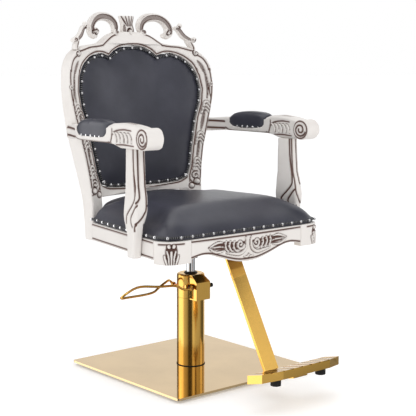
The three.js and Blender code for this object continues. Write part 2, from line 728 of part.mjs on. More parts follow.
function crestRail() {
  const top = [...CREST_TOP, ...CREST_TOP.slice(0, -1).reverse().map(([x, z]) => [-x, z])];
  const under = [...CREST_OPENING, ...CREST_OPENING.slice(0, -1).reverse().map(([x, z]) => [-x, z])];
  return bentSlab(outline([...top, ...under.reverse()]), frameDepth);
}

const LOWER_OPENING = [[200, 650], [190, 642], [162, 633], [120, 629], [80, 627], [40, 627], [0, 627]];

function lowerRail() {
  const end = stileInnerFoot - GAP;
  const edge = LOWER_OPENING.map(([x, z]) => [Math.min(x, end), z]);
  const top = [...edge, ...edge.slice(0, -1).reverse().map(([x, z]) => [-x, z])];
  const under = [-end, -150, -100, -50, 0, 50, 100, 150, end].map((x) => [x, LOWER_RAIL_BOTTOM]);
  return bentSlab(outline([...top, ...under]), () => LOWER_RAIL_DEPTH);
}

// The opening's lowest and highest height at a distance from the middle.
function openingLow(x) {
  const edge = [...LOWER_OPENING.map(([u, z]) => [u, z]).reverse(), [201, 652],
    ...STILE_INSIDE.filter(([z]) => z > 660 && z < 980).map(([z, u]) => [u, z])];
  return along(edge, x);
}

function openingHigh(x) {
  const edge = [...[...CREST_OPENING].reverse(), [267, 1028], [276, 975]];
  return along(edge, x);
}

const openingHalf = 276;
const MARGIN = TRIM_SET + TRIM_WIDTH + 4; // flat edge of a panel, under the trim
const ROUNDING = 50;

// The opening's outline, anticlockwise from the middle of its lower edge.
const OPENING = (() => {
  const half = [
    ...[...LOWER_OPENING].reverse(),
    ...STILE_INSIDE.filter(([z]) => z > 660 && z < 1000).map(([z, x]) => [x, z]),
    [267, 1028], ...CREST_OPENING.slice(2),
  ];
  return [...half, ...half.slice(1, -1).reverse().map(([x, z]) => [-x, z])];
})();

function edgeDistance(x, z) {
  const at = new THREE.Vector3(x, z, 0);
  const near = new THREE.Vector3();
  return Math.min(...OPENING.map(([u, w], i) => {
    const [u1, w1] = OPENING[(i + 1) % OPENING.length];
    const side = new THREE.Line3(new THREE.Vector3(u, w, 0), new THREE.Vector3(u1, w1, 0));
    return side.closestPointToPoint(at, true, near).distanceTo(at);
  }));
}

// An upholstered panel that fills the opening: standing at `set` behind the frame's face, with a
// puffed middle, as a stack of upright slices.
function openingPanel(inset, frontAt, depth, puff) {
  const stops = [0.997, 0.98, 0.935, 0.85, 0.76, 0.68, 0.6, 0.5, 0.4, 0.3, 0.2, 0.1];
  const right = stops.map((f) => f * (openingHalf - inset));
  const xs = [...right.map((x) => -x), 0, ...[...right].reverse()];
  return loft(xs.map((x) => {
    const away = Math.abs(x);
    const low = openingLow(away + inset) + inset;
    const high = Math.max(openingHigh(Math.min(away + inset, openingHalf)) - inset, low + 1);
    const rise = high - low;
    const steps = [MARGIN, MARGIN + ROUNDING / 2, MARGIN + ROUNDING].map((d) => Math.min(d / rise, 0.45));
    const heights = [0, ...steps, 0.5, ...[...steps].reverse().map((f) => 1 - f), 1];
    const face = heights.map((f) => {
      const z = low + f * rise;
      const rim = THREE.MathUtils.clamp((edgeDistance(x, z) - MARGIN) / ROUNDING, 0, 1);
      const swell = puff * Math.sin((Math.PI / 2) * rim);
      return new THREE.Vector3(x, backY(x, z) + frontAt(z) - swell, z);
    });
    const rear = [...heights].reverse().map((f) => {
      const z = low + f * rise;
      return new THREE.Vector3(x, backY(x, z) + frontAt(z) + depth, z);
    });
    return [...face, ...rear];
  }));
}

// The studded gimp that follows the opening's edge all the way round the back cushion.
function backTrim() {
  const count = OPENING.length;
  const rear = CUSHION_RECESS - TRIM_STAND;
  const front = rear - TRIM_THICK;
  const outer = TRIM_SET;
  const inner = TRIM_SET + TRIM_WIDTH;
  return loft(OPENING.map(([x, z], i) => {
    const [x0, z0] = OPENING[(i + count - 1) % count];
    const [x1, z1] = OPENING[(i + 1) % count];
    const inward = new THREE.Vector2(z0 - z1, x1 - x0).normalize();
    return [[outer, rear], [outer, front], [inner, front], [inner, rear]].map(([d, y]) => {
      const u = x + inward.x * d;
      const w = z + inward.y * d;
      return new THREE.Vector3(u, backY(u, w) + y, w);
    });
  }), true);
}

// ---- Crest carving ----
// A tapering scroll that follows points across the back's face; each point is x, z and a radius.
function scroll(points, halfDepth, centreDepth, grow = 0) {
  const curve = new THREE.CatmullRomCurve3(points.map(([x, z, r]) => new THREE.Vector3(x, z, r)));
  const steps = 2 * (points.length - 1);
  const sides = oval(8, 1, 1);
  const rings = [];
  for (let i = 0; i <= steps; i += 1) {
    const t = i / steps;
    const way = curve.getTangent(t);
    const past = i === 0 ? -grow : i === steps ? grow : 0;
    const at = curve.getPoint(t).addScaledVector(way, past);
    const across = new THREE.Vector2(-way.y, way.x).normalize();
    const r = at.z + grow;
    const depth = halfDepth * Math.min(1, 0.45 + r / 24) + grow;
    rings.push(sides.map(([u, v]) => {
      const x = at.x + across.x * r * u;
      const z = at.y + across.y * r * u;
      return new THREE.Vector3(x, backY(x, z) + centreDepth + depth * v, z);
    }));
  }
  return loft(rings);
}

const LET_IN = 0.5; // clearance of a carving let into the crest rail
const SCROLL_DEPTH = 20;
const SCROLL_CENTRE = 20;
const BIG_SCROLL = [
  [64, 1180, 7], [57, 1192, 11], [60, 1212, 14], [78, 1230, 17], [104, 1237, 16], [132, 1236, 16],
  [158, 1224, 16], [175, 1202, 15], [176, 1180, 14], [164, 1167, 12], [152, 1172, 9],
];
const EAR_SCROLL = [
  [202, 1198, 8], [214, 1196, 9], [222, 1184, 9], [234, 1168, 10], [252, 1157, 10], [274, 1150, 8],
];
const EAR_STEM = [[246, 1160, 7], [252, 1146, 9], [262, 1132, 10], [266, 1118, 9]];
const SHELL = [[1146, 3], [1156, 15], [1172, 27], [1190, 30], [1208, 26], [1226, 30], [1241, 34]];

function crestShell(grow = 0) {
  return loft(SHELL.map(([z, half]) => oval(12, half + grow, SCROLL_DEPTH + grow).map(([u, v]) =>
    new THREE.Vector3(u, backY(u, z) + SCROLL_CENTRE + v * Math.min(1, 0.5 + half / 60), z))));
}

function crestEar(grow = 0) {
  const arm = scroll(EAR_SCROLL, SCROLL_DEPTH, SCROLL_CENTRE, grow);
  return join(arm, scroll(EAR_STEM, SCROLL_DEPTH, SCROLL_CENTRE, grow));
}

function crestScroll(grow = 0) {
  return scroll(BIG_SCROLL, SCROLL_DEPTH, SCROLL_CENTRE, grow);
}

const letIn = [crestShell(LET_IN), crestEar(LET_IN), crestScroll(LET_IN)];
letIn.push(mirrored(letIn[1]), mirrored(letIn[2]));
place('back_stile_right', backStile(), IVORY);
place('back_stile_left', mirrored(backStile()), IVORY);
place('back_crest_rail', cut(crestRail(), ...letIn), IVORY);
place('back_lower_rail', lowerRail(), IVORY);
place('crest_shell', crestShell(), IVORY);
place('crest_scroll_right', crestScroll(), IVORY);
place('crest_scroll_left', mirrored(crestScroll()), IVORY);
place('crest_ear_right', crestEar(), IVORY);
place('crest_ear_left', mirrored(crestEar()), IVORY);
place('back_cushion', openingPanel(PANEL_PLAY, () => CUSHION_RECESS, CUSHION_DEPTH, CUSHION_PUFF), LEATHER);
const panelFace = (z) => frameDepth(z) - PANEL_SET - PANEL_THICK;
place('back_nail_trim', backTrim(), SILVER);
place('back_outer_panel', openingPanel(PANEL_PLAY, panelFace, PANEL_THICK, 0), LEATHER);

// ---- Arms ----
// Each row: distance along Y, middle in X, underside, top, half-width. The rear end runs inward to
// the stile's outer side.
const ARM_ROWS = [
  [285, 306, 813, 862, 17], [250, 313, 815, 864, 19], [215, 325, 818, 867, 21], [180, 337, 820, 870, 22],
  [150, 344, 820, 872, 24], [100, 349, 820, 872, 25], [20, 350, 820, 872, 26], [-30, 350, 820, 876, 26],
  [-58, 350, 818, 885, 27], [-98, 350, ARM_BOTTOM, 888, 28], [-150, 348, ARM_BOTTOM, 884, 28],
  [-185, ROLL_X, ARM_BOTTOM, 879, 28], [ROLL_Y + 5, ROLL_X, 811, 873, 28],
];
// Each row: distance along Y, underside, top, share of the pad's half-width.
const PAD_ROWS = [
  [PAD_REAR, 850, 866, 0.6], [PAD_REAR - 7, 840, 876, 0.8], [PAD_REAR - 24, 831, 885, 0.96],
  [118, PAD_BOTTOM, 891, 1], [70, PAD_BOTTOM, PAD_CROWN, 1], [20, PAD_BOTTOM, 894, 1],
  [PAD_FRONT + 22, 832, 891, 0.97], [PAD_FRONT + 7, 842, 886, 0.86], [PAD_FRONT, 856, 880, 0.7],
];

function armMiddle(y) {
  return along(ARM_ROWS.map(([at, x]) => [-at, x]), -y);
}

function armPad(grow = 0) {
  return loft(PAD_ROWS.map(([y, low, high, share], row) => {
    const half = PAD_HALF_WIDTH * share + grow;
    const x = armMiddle(y);
    const end = row === 0 ? grow : row === PAD_ROWS.length - 1 ? -grow : 0;
    return chamfered(x - half, x + half, low - grow, high + grow, Math.min(12, (high - low) / 3))
      .map(([u, v]) => new THREE.Vector3(u, y + end, v));
  }));
}

function armRail() {
  const bar = loft(ARM_ROWS.map(([y, x, low, high, half]) =>
    chamfered(x - half, x + half, low, high, 7).map(([u, v]) => new THREE.Vector3(u, y, v))));
  const roll = cylinderX(ROLL_R, 0, 0, -ROLL_LENGTH / 2, ROLL_LENGTH / 2, 28);
  roll.rotateZ(ROLL_TOE).translate(ROLL_X, ROLL_Y, ROLL_Z);
  const stiles = [[0, 0], [GAP, 0], [0, -GAP]].map(([x, y]) => backStile().translate(x, y, 0));
  return cut(join(bar, roll), armPad(GAP), ...stiles);
}

// Each row: height, middle and depth along the seat's side, inner and outer face beyond the rail.
const POST_ROWS = [
  [457, -5, 44, GAP, POST_THICK], [500, -7, 47, GAP, POST_THICK], [530, -10, 54, GAP, POST_THICK],
  [545, -9, 64, GAP, POST_THICK], [560, -7, 74, GAP, POST_THICK], [576, -5, 85, -3, POST_THICK],
  [592, -4, 93, -7, 33], [612, -5, 92, -11, 33], [640, -5.5, 85, -13, 32], [660, -5, 80, -14, 31],
  [690, -3, 68, -14, 31], [740, -1, 64, -14, 30], [ARM_BOTTOM - GAP, 0, 59, -14, 30],
];

function armPost() {
  const outward = new THREE.Vector3(1, SIDE_SPLAY, 0).normalize();
  const backward = new THREE.Vector3(-SIDE_SPLAY, 1, 0).normalize();
  const root = new THREE.Vector3(sideX(POST_Y), POST_Y, 0);
  return loft(POST_ROWS.map(([z, v, depth, inner, outer]) =>
    chamfered(inner, outer, v - depth / 2, v + depth / 2, 6).map(([a, b]) =>
      root.clone().addScaledVector(outward, a).addScaledVector(backward, b).setZ(z))));
}

for (const [side, hand] of [['right', (g) => g], ['left', mirrored]]) {
  place(`arm_rail_${side}`, hand(armRail()), IVORY);
  place(`arm_post_${side}`, hand(armPost()), IVORY);
  place(`arm_pad_${side}`, hand(armPad()), LEATHER);
}

// ---- Footrest ----
const barTop = mountBottom - GAP;

const treadRear = TREAD_FRONT_Y + TREAD_DEPTH;
const treadTop = (y) => TREAD_FRONT_TOP - TREAD_SLOPE * (y - TREAD_FRONT_Y);
const treadBottom = (y) => treadTop(y) - TREAD_THICK;

// Where the leaning bar, moved back by a distance, meets a line that far below the tread's underside.
function knee(behind, below) {
  const drop = barTop + below - treadBottom(0);
  const y = (BAR_BEND_Y + behind - BAR_LEAN * drop) / (1 + BAR_LEAN * TREAD_SLOPE);
  return [y, treadBottom(y) - below];
}

// The bar bends forward at its foot into a tongue that carries the tread.
function footrestBar() {
  const across = BAR_THICK * Math.hypot(1, BAR_LEAN);
  const tongue = BAR_THICK * Math.hypot(1, TREAD_SLOPE) + GAP;
  const under = barTop - BAR_THICK;
  const profile = outline([
    [BAR_BEND_Y, barTop], knee(0, GAP), [TONGUE_FRONT_Y, treadBottom(TONGUE_FRONT_Y) - GAP],
    [TONGUE_FRONT_Y, treadBottom(TONGUE_FRONT_Y) - tongue], knee(across, tongue),
    [BAR_BEND_Y + across - BAR_LEAN * BAR_THICK, under], [BAR_REAR_Y, under], [BAR_REAR_Y, barTop],
  ]);
  return extrudeX(profile, -BAR_WIDTH / 2, BAR_WIDTH / 2);
}

function treadGroove(x) {
  const half = GROOVE_WIDTH / 2;
  const past = 2;
  return loft([treadRear + past, TREAD_FRONT_Y - past].map((y) =>
    [[-half, past], [0, -GROOVE_DEPTH], [half, past]].map(([u, rise]) =>
      new THREE.Vector3(x + u * (1 + past / GROOVE_DEPTH), y, treadTop(y) + rise))));
}

// A plate that rises to the front, its front corners cut back, with grooves from front to rear.
function footplate() {
  const half = TREAD_HALF_WIDTH;
  const slab = extrudeX(outline([
    [TREAD_FRONT_Y, treadBottom(TREAD_FRONT_Y)], [treadRear, treadBottom(treadRear)],
    [treadRear, treadTop(treadRear)], [TREAD_FRONT_Y, treadTop(TREAD_FRONT_Y)],
  ]), -half, half);
  const corner = TREAD_FRONT_Y + TREAD_CORNER;
  const rim = 0.5;
  const plan = outline([
    [-TREAD_FLAT_HALF, TREAD_FRONT_Y + rim], [TREAD_FLAT_HALF, TREAD_FRONT_Y + rim], [half - rim, corner],
    [half - rim, treadRear - rim], [rim - half, treadRear - rim], [rim - half, corner],
  ]);
  const plate = keep(slab, extrudeZ(plan, treadBottom(treadRear) - 1, TREAD_FRONT_TOP + 1));
  const grooves = Array.from({ length: TREAD_GROOVES }, (_, i) =>
    treadGroove((i - (TREAD_GROOVES - 1) / 2) * GROOVE_PITCH));
  return cut(plate, ...grooves);
}

function bumper(x) {
  const ring = (level) => oval(20, BUMPER_R, BUMPER_R).map(([u, v]) =>
    new THREE.Vector3(x + u, BUMPER_Y + v, level(BUMPER_Y + v)));
  const foot = treadBottom(BUMPER_Y + BUMPER_R) - BUMPER_HEIGHT;
  return loft([ring(() => foot), ring((y) => treadBottom(y) - GAP)]);
}

place('footrest_bar', footrestBar(), GOLD);
place('footplate', footplate(), GOLD);
place('footplate_bumper_right', bumper(BUMPER_X), RUBBER);
place('footplate_bumper_left', bumper(-BUMPER_X), RUBBER);

const extent = new THREE.Box3().setFromObject(model);
model.position.set(-(extent.min.x + extent.max.x) / 2, -(extent.min.y + extent.max.y) / 2, -extent.min.z);

export default chair;
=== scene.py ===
# %% [markdown]
# # A carved styling chair
# A salon chair is three trades in one object: a carver's painted frame, an upholsterer's
# nailed leather, and a metal shop's plated pump. Each cell below makes one of those pieces.
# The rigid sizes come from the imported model, so new pieces are worked out from its nodes.

# %% Load the frame
import json
import math
from functools import partial
import bmesh
import bpy
import numpy as np
from mathutils import Matrix, Vector


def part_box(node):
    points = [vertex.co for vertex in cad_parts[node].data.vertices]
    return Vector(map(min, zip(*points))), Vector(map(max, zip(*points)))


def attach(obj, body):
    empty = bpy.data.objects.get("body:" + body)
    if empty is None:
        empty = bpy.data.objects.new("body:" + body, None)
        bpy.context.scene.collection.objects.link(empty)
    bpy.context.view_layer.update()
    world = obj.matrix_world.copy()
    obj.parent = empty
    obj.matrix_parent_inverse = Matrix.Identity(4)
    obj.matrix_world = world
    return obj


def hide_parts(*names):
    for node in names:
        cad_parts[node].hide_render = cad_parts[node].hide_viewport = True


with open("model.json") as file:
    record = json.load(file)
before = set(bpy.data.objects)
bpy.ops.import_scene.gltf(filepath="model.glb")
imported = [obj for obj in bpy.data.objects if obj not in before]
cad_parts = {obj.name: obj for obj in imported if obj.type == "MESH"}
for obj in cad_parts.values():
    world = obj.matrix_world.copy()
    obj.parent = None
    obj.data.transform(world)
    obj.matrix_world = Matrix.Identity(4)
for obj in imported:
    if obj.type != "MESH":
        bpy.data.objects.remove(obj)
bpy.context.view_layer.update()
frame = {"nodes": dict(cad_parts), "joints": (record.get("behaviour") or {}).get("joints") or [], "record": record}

nodes = frame["nodes"]
body_of_node = {n: b for b, names in frame["record"]["behaviour"]["bodies"].items() for n in names}
axis = next(j["pos_m"] for j in frame["joints"] if j["name"] == "seat_swivel")
AXIS_Y = axis[1]
MM = 0.001
print("nodes:", len(nodes), "column axis at y =", round(AXIS_Y, 4))

# %% [markdown]
# ## Camera and studio
# The camera stands low in front, on the side of the foot lever, with a long lens so that upright
# lines stay upright. The chair stands on white, so the floor is pale and the light is wide and
# soft. Polished gold shows whatever is around it, so the world has a few darker bands between its
# bright panels: without them the pump would look like flat yellow paint.

# %% Camera
CAMERA_AZIMUTH = 0.694
CAMERA_ELEVATION = 0.132
CAMERA_DISTANCE = 3.93777
SENSOR_WIDTH = 36
LENS = 97.95
SHIFT_ACROSS, SHIFT_UP = 0.0415, -0.019
FAR_CLIP = 50
AIM = Vector((0, AXIS_Y, 0.6))
back = Vector((-math.sin(CAMERA_AZIMUTH) * math.cos(CAMERA_ELEVATION),
               -math.cos(CAMERA_AZIMUTH) * math.cos(CAMERA_ELEVATION),
               math.sin(CAMERA_ELEVATION)))
camera_data = bpy.data.cameras.new("camera")
camera_data.sensor_width = SENSOR_WIDTH
camera_data.lens = LENS
camera_data.shift_x = SHIFT_ACROSS
camera_data.shift_y = SHIFT_UP
camera_data.clip_end = FAR_CLIP
camera = bpy.data.objects.new("camera", camera_data)
camera.location = AIM + back * CAMERA_DISTANCE
camera.rotation_euler = (-back).to_track_quat("-Z", "Y").to_euler()
bpy.context.scene.collection.objects.link(camera)
bpy.context.scene.camera = camera
print("camera at", [round(v, 2) for v in camera.location])


# %% Helpers for objects and materials
def link(name, data):
    obj = bpy.data.objects.new(name, data)
    bpy.context.scene.collection.objects.link(obj)
    return obj


def mesh_from(bm, name):
    """Turns a finished bmesh into a mesh, and frees it."""
    mesh = bpy.data.meshes.new(name)
    bm.to_mesh(mesh)
    bm.free()
    return mesh


def new_material(name):
    look = bpy.data.materials.new(name)
    look.use_nodes = True
    tree = look.node_tree
    return look, tree, tree.nodes["Principled BSDF"]


def give(node, inputs):
    for socket, value in inputs.items():
        node.inputs[socket].default_value = value


def add(tree, kind, inputs=None, **settings):
    """A shader node, with the values of its inputs and its settings."""
    node = tree.nodes.new(kind)
    for key, value in settings.items():
        setattr(node, key, value)
    give(node, inputs or {})
    return node


# %% Floor and lights
# The floor stays out of reflections, so the plating mirrors the bands of the world alone. It
# glows very slightly, which keeps it as white as the backdrop far from the lamps.
FLOOR_REACH = 40
FLOOR_TONE = (0.93, 0.93, 0.93, 1)
FLOOR_ROUGHNESS = 0.7
FLOOR_GLOW = 0.24
WHITE = (1, 1, 1, 1)


def floor():
    bm = bmesh.new()
    bmesh.ops.create_grid(bm, x_segments=1, y_segments=1, size=FLOOR_REACH)
    mesh = mesh_from(bm, "studio_floor")
    piece = link("studio_floor", mesh)
    piece.visible_glossy = False
    look, _, shader = new_material("studio floor")
    give(shader, {"Base Color": FLOOR_TONE, "Roughness": FLOOR_ROUGHNESS, "Emission Color": WHITE,
                  "Emission Strength": FLOOR_GLOW})
    mesh.materials.append(look)
    return piece


def softbox(name, place, aim, width, height, power):
    data = bpy.data.lights.new(name, "AREA")
    data.shape = "RECTANGLE"
    data.size = width
    data.size_y = height
    data.energy = power
    lamp = link(name, data)
    lamp.location = place
    lamp.rotation_euler = (Vector(aim) - Vector(place)).to_track_quat("-Z", "Y").to_euler()
    return lamp


studio = [
    floor(),
    softbox("key", (-1.6, -3.4, 3.2), (0, 0, 0.7), 2.2, 2.2, 30),
    softbox("fill", (3.4, -1.8, 1.9), (0, 0, 0.6), 2.0, 2.6, 14),
    softbox("top", (0.2, 0.4, 4.2), (0, 0, 0), 3.0, 3.0, 20),
    softbox("rim", (-2.6, 2.8, 2.4), (0, 0, 0.8), 1.6, 2.2, 10),
]
print("studio pieces:", len(studio))

# %% World of pale panels and darker bands
# Each band has its place, from 0 to 1 of a full turn, and its brightness. Only reflections see
# them: the backdrop is white, and matt surfaces are lit evenly.
BANDS = [
    (0.0, 0.60), (0.060, 0.95), (0.085, 0.07), (0.160, 0.07), (0.185, 0.40), (0.27, 0.75),
    (0.31, 1.9), (0.42, 1.9), (0.46, 0.25), (0.53, 0.10), (0.58, 0.93), (0.72, 0.93),
    (0.77, 0.10), (0.84, 0.15), (0.89, 0.50), (1.0, 0.60),
]
EVEN_LIGHT = (0.80, 0.80, 0.80, 1)
MIX_FIRST, MIX_SECOND, MIX_RESULT = 6, 7, 2  # the colour sockets of a Mix node

world = bpy.data.worlds.new("studio world")
bpy.context.scene.world = world
world.use_nodes = True
sky_tree = world.node_tree
sky_tree.nodes.clear()
coord = add(sky_tree, "ShaderNodeTexCoord")
split = add(sky_tree, "ShaderNodeSeparateXYZ")
turn = add(sky_tree, "ShaderNodeMath", operation="ARCTAN2")
share_of_turn = add(sky_tree, "ShaderNodeMapRange", {"From Min": -math.pi, "From Max": math.pi})
bands = add(sky_tree, "ShaderNodeValToRGB")
ramp = bands.color_ramp.elements
for spot, level in BANDS[1:-1]:
    ramp.new(spot)
for element, (spot, level) in zip(ramp, BANDS):
    element.position = spot
    element.color = (level, level, level, 1)
ray = add(sky_tree, "ShaderNodeLightPath")
backdrop = add(sky_tree, "ShaderNodeMix", data_type="RGBA")
give(backdrop, {MIX_SECOND: WHITE})
even = add(sky_tree, "ShaderNodeMix", data_type="RGBA")
give(even, {MIX_SECOND: EVEN_LIGHT})
sky = add(sky_tree, "ShaderNodeBackground", {"Strength": 1.0})
out = add(sky_tree, "ShaderNodeOutputWorld")
for start, end in (
    (coord.outputs["Generated"], split.inputs[0]),
    (split.outputs["X"], turn.inputs[0]),
    (split.outputs["Y"], turn.inputs[1]),
    (turn.outputs[0], share_of_turn.inputs["Value"]),
    (share_of_turn.outputs[0], bands.inputs[0]),
    (ray.outputs["Is Diffuse Ray"], even.inputs[0]),
    (bands.outputs["Color"], even.inputs[MIX_FIRST]),
    (even.outputs[MIX_RESULT], backdrop.inputs[MIX_FIRST]),
    (ray.outputs["Is Camera Ray"], backdrop.inputs[0]),
    (backdrop.outputs[MIX_RESULT], sky.inputs["Color"]),
    (sky.outputs[0], out.inputs["Surface"]),
):
    sky_tree.links.new(start, end)
bpy.context.scene.view_settings.view_transform = "Standard"
print("world bands:", len(BANDS))

# %% [markdown]
# ## Finishes
# Every finish is made of shader nodes that read the piece's own coordinates, so a pattern stays
# put when the chair turns. The painted wood is ivory lacquer, darkened brown in the cuts: partly a
# brown glaze wiped into them, and partly painted shade that deepens the hollows, grooves and creases.
# The carving step writes how deep each spot was cut into an attribute for the glaze and the painted
# shade, and the paint darkens by it. A real glaze only stays where it can't be wiped off.


# %% Shader helpers
def noise(tree, scale, detail=4.0, roughness=0.55):
    place = add(tree, "ShaderNodeTexCoord")
    node = add(tree, "ShaderNodeTexNoise", {"Scale": scale, "Detail": detail, "Roughness": roughness})
    tree.links.new(place.outputs["Object"], node.inputs["Vector"])
    return node.outputs["Fac"]


def blend_colours(tree, amount, first, second, low=0.0, high=1.0):
    span = add(tree, "ShaderNodeMapRange", {"From Min": low, "From Max": high})
    mix = add(tree, "ShaderNodeMix", data_type="RGBA")
    for socket, colour in ((MIX_FIRST, first), (MIX_SECOND, second)):
        if isinstance(colour, bpy.types.NodeSocket):
            tree.links.new(colour, mix.inputs[socket])
        else:
            mix.inputs[socket].default_value = (*colour, 1)
    tree.links.new(amount, span.inputs["Value"])
    tree.links.new(span.outputs[0], mix.inputs[0])
    return mix.outputs[MIX_RESULT]


def colour_by(tree, shader, *blend):
    tree.links.new(blend_colours(tree, *blend), shader.inputs["Base Color"])


def bump(tree, shader, height, strength, distance):
    node = add(tree, "ShaderNodeBump", {"Strength": strength, "Distance": distance})
    tree.links.new(height, node.inputs["Height"])
    tree.links.new(node.outputs[0], shader.inputs["Normal"])


def vary_roughness(tree, shader, source, low, high):
    span = add(tree, "ShaderNodeMapRange", {"To Min": low, "To Max": high})
    tree.links.new(source, span.inputs["Value"])
    tree.links.new(span.outputs[0], shader.inputs["Roughness"])


# %% Painted wood, with glaze and painted shade in the cuts
IVORY = (0.79, 0.755, 0.725)
IVORY_WARM = (0.71, 0.66, 0.625)
# the brown of the glaze, also used for the painted shade in the cuts
GLAZE_AND_SHADE_BROWN = (0.105, 0.046, 0.033)


def glazed_and_shaded_wood():
    look, tree, shader = new_material("ivory lacquer with brown glaze and painted shade")
    # how much glaze and painted shade each spot takes, written by the carving
    cut_glaze_and_shade = add(tree, "ShaderNodeAttribute", attribute_name="glaze_and_shade")
    paint = blend_colours(tree, noise(tree, 9), IVORY, IVORY_WARM, 0.52, 0.95)
    colour_by(tree, shader, cut_glaze_and_shade.outputs["Fac"], paint, GLAZE_AND_SHADE_BROWN, 0.03, 0.70)
    vary_roughness(tree, shader, noise(tree, 60), 0.36, 0.52)
    give(shader, {"Specular IOR Level": 0.45})
    bump(tree, shader, noise(tree, 420, 3), 0.12, 0.0006)
    return look


# %% Leather
LEATHER = (0.034, 0.035, 0.049)
LEATHER_WORN = (0.056, 0.057, 0.077)
LEATHER_GRAIN = 620


def leather():
    look, tree, shader = new_material("slate leather")
    colour_by(tree, shader, noise(tree, 7, 5), LEATHER, LEATHER_WORN, 0.35, 0.75)
    place = add(tree, "ShaderNodeTexCoord")
    cells = add(tree, "ShaderNodeTexVoronoi", {"Scale": LEATHER_GRAIN}, feature="DISTANCE_TO_EDGE")
    tree.links.new(place.outputs["Object"], cells.inputs["Vector"])
    vary_roughness(tree, shader, noise(tree, 40), 0.27, 0.36)
    give(shader, {"Specular IOR Level": 0.5})
    bump(tree, shader, cells.outputs["Distance"], 0.22, 0.0007)
    return look


# %% Metals, rubber and board
DULLER = 0.86  # how much darker the faint clouds in a plated surface are
SCRATCHES = 90
PLY_STRETCH = (2, 30, 300)
PLY_PALE, PLY_DARK = (0.48, 0.32, 0.17), (0.27, 0.16, 0.08)


def stretched_noise(tree, stretch, scale, detail):
    place = add(tree, "ShaderNodeTexCoord")
    squash = add(tree, "ShaderNodeMapping", {"Scale": stretch})
    streaks = add(tree, "ShaderNodeTexNoise", {"Scale": scale, "Detail": detail})
    tree.links.new(place.outputs["Object"], squash.inputs["Vector"])
    tree.links.new(squash.outputs[0], streaks.inputs["Vector"])
    return streaks.outputs["Fac"]


def metal(name, colour, low, high, grain=0.0, stretch=(1, 1, 1)):
    look, tree, shader = new_material(name)
    give(shader, {"Metallic": 1})
    colour_by(tree, shader, noise(tree, 5), colour, tuple(c * DULLER for c in colour), 0.35, 0.8)
    scratches = stretched_noise(tree, stretch, SCRATCHES, 6)
    vary_roughness(tree, shader, scratches, low, high)
    if grain:
        bump(tree, shader, scratches, grain, 0.0004)
    return look


def plain(name, colour, roughness, bump_scale, strength):
    look, tree, shader = new_material(name)
    colour_by(tree, shader, noise(tree, 30), colour, tuple(c * 1.5 for c in colour), 0.3, 0.9)
    give(shader, {"Roughness": roughness})
    bump(tree, shader, noise(tree, bump_scale), strength, 0.0005)
    return look


def plywood():
    look, tree, shader = new_material("plywood")
    colour_by(tree, shader, stretched_noise(tree, PLY_STRETCH, 3, 2), PLY_PALE, PLY_DARK, 0.3, 0.7)
    give(shader, {"Roughness": 0.7})
    return look


finishes = {
    "carved_wood": glazed_and_shaded_wood(),
    "leather": leather(),
    "gold": metal("polished gold plating", (0.83, 0.50, 0.12), 0.10, 0.20, 0.03),
    "gold_plate": metal("mirror champagne gold", (0.74, 0.54, 0.295), 0.05, 0.10, 0.02, (1, 8, 1)),
    "chrome": metal("mirror chrome", (0.80, 0.81, 0.83), 0.04, 0.10),
    "steel": metal("zinc plated steel", (0.42, 0.43, 0.45), 0.30, 0.45, 0.1),
    "black_steel": plain("black enamel", (0.012, 0.012, 0.013), 0.35, 300, 0.1),
    "copper": metal("polished copper", (0.55, 0.22, 0.08), 0.12, 0.25),
    "rubber": plain("black rubber", (0.008, 0.008, 0.009), 0.75, 500, 0.3),
    "board": plywood(),
    "nails": metal("silver nails", (0.85, 0.85, 0.87), 0.10, 0.2),
}
slot_of_node = {p["node"]: p["material_slot"] for p in frame["record"]["subparts"]}
for name, obj in nodes.items():
    obj.data.materials.clear()
    obj.data.materials.append(finishes[slot_of_node[name]])
print("finishes:", sorted(finishes))

# %% [markdown]
# ## How the wood is carved
# A carver starts from the sawn blank and cuts into it. The same is done here: a fine, even copy of
# the blank is made with the Remesh modifier, smoothed a little, and then each cut is a line drawn on
# the face of the piece. Points near the line move in (a groove or a hollow) or out (a bead), by an
# amount that depends on their distance to the line. Drawing lines keeps every ornament a few
# numbers long, and the same lines say where the brown glaze and the painted shade collect.


# %% Fine copies of blanks
FRAME_MESH, VOXEL, SMALL_MESH = 0.0026, 0.0022, 0.0018  # fineness of the copies, in metres
BACK_Z, BACK_DEPTH, BACK_SLOPE, BACK_BOW = 618, 277.5, 0.119, 0.00064  # the back's front face, in mm
EYE_SINK = 5
SAME_SPOT = 1e-6
TINY = 1e-9


def merged(*names):
    """CAD nodes in one bmesh, with the points that lie on each other joined."""
    bm = bmesh.new()
    for name in names:
        bm.from_mesh(nodes[name].data)
    bmesh.ops.remove_doubles(bm, verts=bm.verts, dist=SAME_SPOT)
    return bm


def soften(mesh, times, loose=None):
    """Smooths a mesh a number of times, everywhere or at the loose points alone."""
    bm = bmesh.new()
    bm.from_mesh(mesh)
    bm.verts.ensure_lookup_table()
    verts = bm.verts if loose is None else [bm.verts[int(i)] for i in loose]
    for _ in range(times):
        bmesh.ops.smooth_vert(bm, verts=verts, factor=0.5, use_axis_x=True, use_axis_y=True, use_axis_z=True)
    bm.to_mesh(mesh)
    bm.free()
    mesh.shade_smooth()


